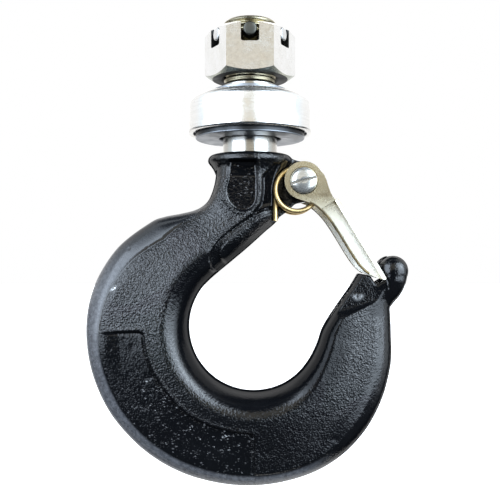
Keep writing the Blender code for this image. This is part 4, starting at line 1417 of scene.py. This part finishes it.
fit(make_latch(), "latch", "latch")
for k, side in enumerate((-1, 1)):
    burr = make_shear_line(f"latch_shear_{k}", side * (LATCH_HALF - 0.46))
    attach(burr, "latch")

# ---------------------------------------------------------------- spring

WIRE_SIDES = 24
FIXED_POINTS = 12           # path points on the straight leg beside the hook's neck
COIL_STEPS = 160
COIL_INNER_Y, COIL_OUTER_Y = 5.0, 7.3
BRIDGE_BEND = 2.4           # radius where a leg turns across under the latch's web


def spring_half():
    """Path of the -Y half: fixed leg and coil, then the leg out to the bridge."""
    rest_x, rest_z = latch_point(25.0, 6.25)
    to_rest = Vector((rest_x - COIL_X, 0, rest_z - COIL_Z))
    leave = math.atan2(to_rest.z, to_rest.x) + math.acos(COIL_RADIUS / to_rest.length)
    first_part = math.pi - leave            # before the coil starts to step outwards
    total = first_part + 2 * math.pi
    coil = [Vector((COIL_X - COIL_RADIUS, -COIL_INNER_Y, z))
            for z in np.linspace(-91.2, -77.9, FIXED_POINTS)]
    for k in range(COIL_STEPS + 1):
        wound = total * k / COIL_STEPS
        t = min(max((wound - first_part) / (2 * math.pi - first_part), 0.0), 1.0)
        t = t * t * (3 - 2 * t)
        angle = math.pi - wound
        coil.append(Vector((COIL_X + COIL_RADIUS * math.cos(angle),
                            -(COIL_INNER_Y + (COIL_OUTER_Y - COIL_INNER_Y) * t),
                            COIL_Z + COIL_RADIUS * math.sin(angle))))
    start = coil[-1].copy()
    end = Vector((rest_x, -COIL_OUTER_Y, rest_z))
    run = (end - start).normalized()
    leg = [start + (end - run * BRIDGE_BEND - start) * (k / 10) for k in range(1, 11)]
    for k in range(1, 13):
        t = QUARTER * k / 12
        leg.append(end - run * BRIDGE_BEND * (1 - math.sin(t))
                   + Vector((0, BRIDGE_BEND * (1 - math.cos(t)), 0)))
    return coil, leg


def make_spring():
    coil, leg = spring_half()
    half = coil + leg
    path = half + [Vector((p.x, -p.y, p.z)) for p in reversed(half)]
    spring = sweep("latch_spring_wire", path, WIRE_RADIUS, WIRE_SIDES, SPRING)
    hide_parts("latch_spring")
    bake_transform(spring, "hook", "latch", start=(PIVOT_X * MM, -6.3 * MM, PIVOT_Z * MM),
             end=(PIVOT_X * MM, -7.2 * MM, PIVOT_Z * MM))
    # the wire winds up along its length: 0 on the fixed legs, 1 where it rides the latch
    share = []
    for i in range(len(spring.data.vertices)):
        k = i // WIRE_SIDES
        k = min(k, len(path) - 1 - k)
        share.append(min(max((k - FIXED_POINTS) / (len(coil) - FIXED_POINTS), 0.0), 1.0))
    spring.data.attributes["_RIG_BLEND"].data.foreach_set("value", share)


make_spring()

# ---------------------------------------------------------------- pivot screw and nut

# Domed head: radius, distance from the middle plane.
DOME = [(0, 12.5), (1.8, 12.46), (3.4, 12.30), (4.6, 12.0), (5.4, 11.55), (5.85, 10.95),
        (6.0, 10.3), (6.0, 9.2), (5.8, 8.95)]
# The screw's shaft: radius, y.
PIVOT_SHAFT = [(3.3, -8.95), (3.3, 8.5), (3.1, 8.75), (2.5, 8.75), (2.5, 11.6), (2.2, 12.0),
               (0, 12.0)]
SCREW_PROFILE = [(r, -h) for r, h in DOME] + PIVOT_SHAFT
PIVOT_NUT_PROFILE = [(2.8, 8.95)] + [(r, h) for r, h in DOME[::-1] if r > 3] + [(2.8, 12.36)]


def make_pivot(name, profile, slot_from, slot_to):
    """Domed piece on the pivot's axis, with a driver slot across it between two y."""
    piece = turned(name, profile, 96, (SCREW,), centre=(PIVOT_X, PIVOT_Z), axis="Y", angle=30)
    turn = math.radians(15)
    c, s = math.cos(turn), math.sin(turn)
    slot = [(PIVOT_X + x * c - z * s, PIVOT_Z + x * s + z * c)
            for x, z in ((-9, -0.62), (9, -0.62), (9, 0.62), (-9, 0.62))]
    boolean(piece, plate("slot", slot, slot_from, slot_to))
    bevel(piece, width=0.12, segments=2, angle=40)
    coat(piece, SCREW)
    return piece


fit(make_pivot("pivot_screw_body", SCREW_PROFILE, -14.0, -10.5),
    "hook", "pivot_screw")
fit(make_pivot("pivot_nut_body", PIVOT_NUT_PROFILE, 10.5, 14.0),
    "hook", "pivot_nut")

# ---------------------------------------------------------------- floor, light, camera (metres)


def make_floor():
    """Pale glowing floor, clear from below and hidden from reflections."""
    size, z = 4.0, -0.32
    mesh = bpy.data.meshes.new("floor")
    corners = [(-size, -size, z), (size, -size, z), (size, size, z), (-size, size, z)]
    mesh.from_pydata(corners, [], [(0, 1, 2, 3)])
    floor = add_object("floor", mesh)
    material = bpy.data.materials.new("pale_floor")
    material.use_nodes = True
    graph = Graph(material.node_tree)
    shader = graph.tree.nodes["Principled BSDF"]
    for key, value in (("Base Color", (0.93, 0.93, 0.93)), ("Roughness", 0.9),
                       ("Emission Color", (1, 1, 1)), ("Emission Strength", 0.75)):
        graph.feed(shader.inputs[key], value)
    mixed = graph.node("MixShader", {
        0: graph.node("NewGeometry", {}, "Backfacing"),
        1: Value(graph, shader.outputs[0]),
        2: graph.node("BsdfTransparent", {})})
    graph.feed(graph.tree.nodes["Material Output"].inputs["Surface"], mixed)
    mesh.materials.append(material)
    floor.visible_glossy = False
    floor.visible_diffuse = False


def make_world():
    """Studio of softboxes painted on the sky; the camera itself sees plain white."""
    world = bpy.data.worlds.new("studio")
    bpy.context.scene.world = world
    world.use_nodes = True
    graph = Graph(world.node_tree)
    graph.tree.nodes.clear()
    output = graph.tree.nodes.new("ShaderNodeOutputWorld")
    x, y, z = graph.split(graph.coordinates("Generated"))

    def smooth(value, start, end, target=(0.0, 1.0)):
        return graph.remap(value, (start, end), target, kind="SMOOTHSTEP")

    def window(value, low, high, soft_low, soft_high):
        """1 between low and high, with soft edges."""
        return (smooth(value, low - soft_low, low + soft_low)
                * (1.0 - smooth(value, high - soft_high, high + soft_high)))

    # degrees: azimuth from -Y, the camera's side, positive towards +X; and elevation
    azimuth = graph.math("ARCTAN2", x, y * -1.0) * (180 / math.pi)
    elevation = graph.math("ARCSINE", z) * (180 / math.pi)
    wide = graph.math("ABSOLUTE", azimuth)

    def front():
        """Azimuths of the warm card behind the camera."""
        return window(azimuth, -21, 17, 3, 3)

    # the white sweep behind the object starts further round below the horizon
    above = smooth(elevation, 1.0, 9.0)
    early, late = smooth(wide, 98, 114), smooth(wide, 120, 140)
    sweep_mask = above * early + (1.0 - above) * late
    # mask, colour, strength
    sources = [
        (sweep_mask * (1.0 - smooth(elevation, 44, 62)), (1.0, 1.0, 1.0), 1.0),
        # strips at both sides
        (window(wide, 77, 106, 5, 8) * smooth(elevation, -34, -8), (0.86, 0.94, 1.0), 1.05),
        # left softbox
        (window(azimuth, -78, -23, 4, 3) * window(elevation, -10, 46, 4, 12),
         (0.78, 0.89, 1.03), 5.2),
        # right softbox, weaker low down, and its hot spot
        (window(azimuth, 21, 78, 3, 4)
         * (window(elevation, -20, 46, 4, 12) * smooth(elevation, -24, 14, (0.5, 1.0))),
         (0.78, 0.90, 1.03), 6.0),
        (window(azimuth, 43, 62, 4, 4) * window(elevation, 10, 38, 4, 5),
         (0.80, 0.91, 1.0), 4.8),
        # warm card, with two brighter bands along its lower edge
        (front() * window(elevation, 7.2, 48, 2.0, 8), (1.0, 0.935, 0.78), 0.68),
        (front() * window(elevation, 7.6, 13.5, 1.6, 1.6), (1.0, 0.96, 0.86), 0.24),
        (front() * window(elevation, 5.5, 7.6, 1.8, 1.6), (0.95, 0.82, 0.60), 0.30),
        # faint light from overhead, and from below on the camera's side
        (smooth(elevation, 62, 80), (0.85, 0.93, 1.0), 0.07),
        ((1.0 - smooth(wide, 80, 104)) * (1.0 - smooth(elevation, -30, 0)),
         (0.75, 0.85, 1.0), 0.07),
    ]
    shade = None
    for mask, colour, strength in sources:
        light = graph.node("Background", {"Color": colour, "Strength": mask * strength})
        shade = graph.node("AddShader", {0: shade, 1: light}) if shade else light
    seen = graph.node("Background", {"Color": (1, 1, 1), "Strength": 1.0})
    camera_ray = graph.node("LightPath", {}, "Is Camera Ray")
    mixed = graph.node("MixShader", {0: camera_ray, 1: shade, 2: seen})
    graph.feed(output.inputs["Surface"], mixed)


def make_area_light(name, location, size, power):
    """White rectangular light aimed at the middle of the hook."""
    light = bpy.data.lights.new(name, "AREA")
    light.shape = "RECTANGLE"
    light.size, light.size_y = size
    light.energy = power
    light.color = (1, 1, 1)
    lamp = bpy.data.objects.new(name, light)
    lamp.location = location
    aim = Vector((0.0, 0.0, -0.12)) - Vector(location)
    lamp.rotation_euler = aim.to_track_quat("-Z", "Y").to_euler()
    lamp.visible_camera = False
    bpy.context.scene.collection.objects.link(lamp)


def make_camera():
    data = bpy.data.cameras.new("camera")
    data.sensor_width = 36.0
    data.lens = 50.4
    data.clip_start = 0.01
    camera = add_object("camera", data)
    camera.location = (0.0, -0.322, -0.10442)
    camera.rotation_euler = (math.radians(90), 0, 0)
    bpy.context.scene.camera = camera


make_floor()
make_world()
make_area_light("top_soft", location=(0.0, 0.85, 0.55), size=(1.1, 0.5), power=0.8)
make_area_light("back_soft", location=(0.0, 0.95, 0.25), size=(1.4, 0.9), power=1.2)
make_camera()
bpy.context.scene.view_settings.view_transform = "Standard"
bpy.context.scene.view_settings.look = "None"
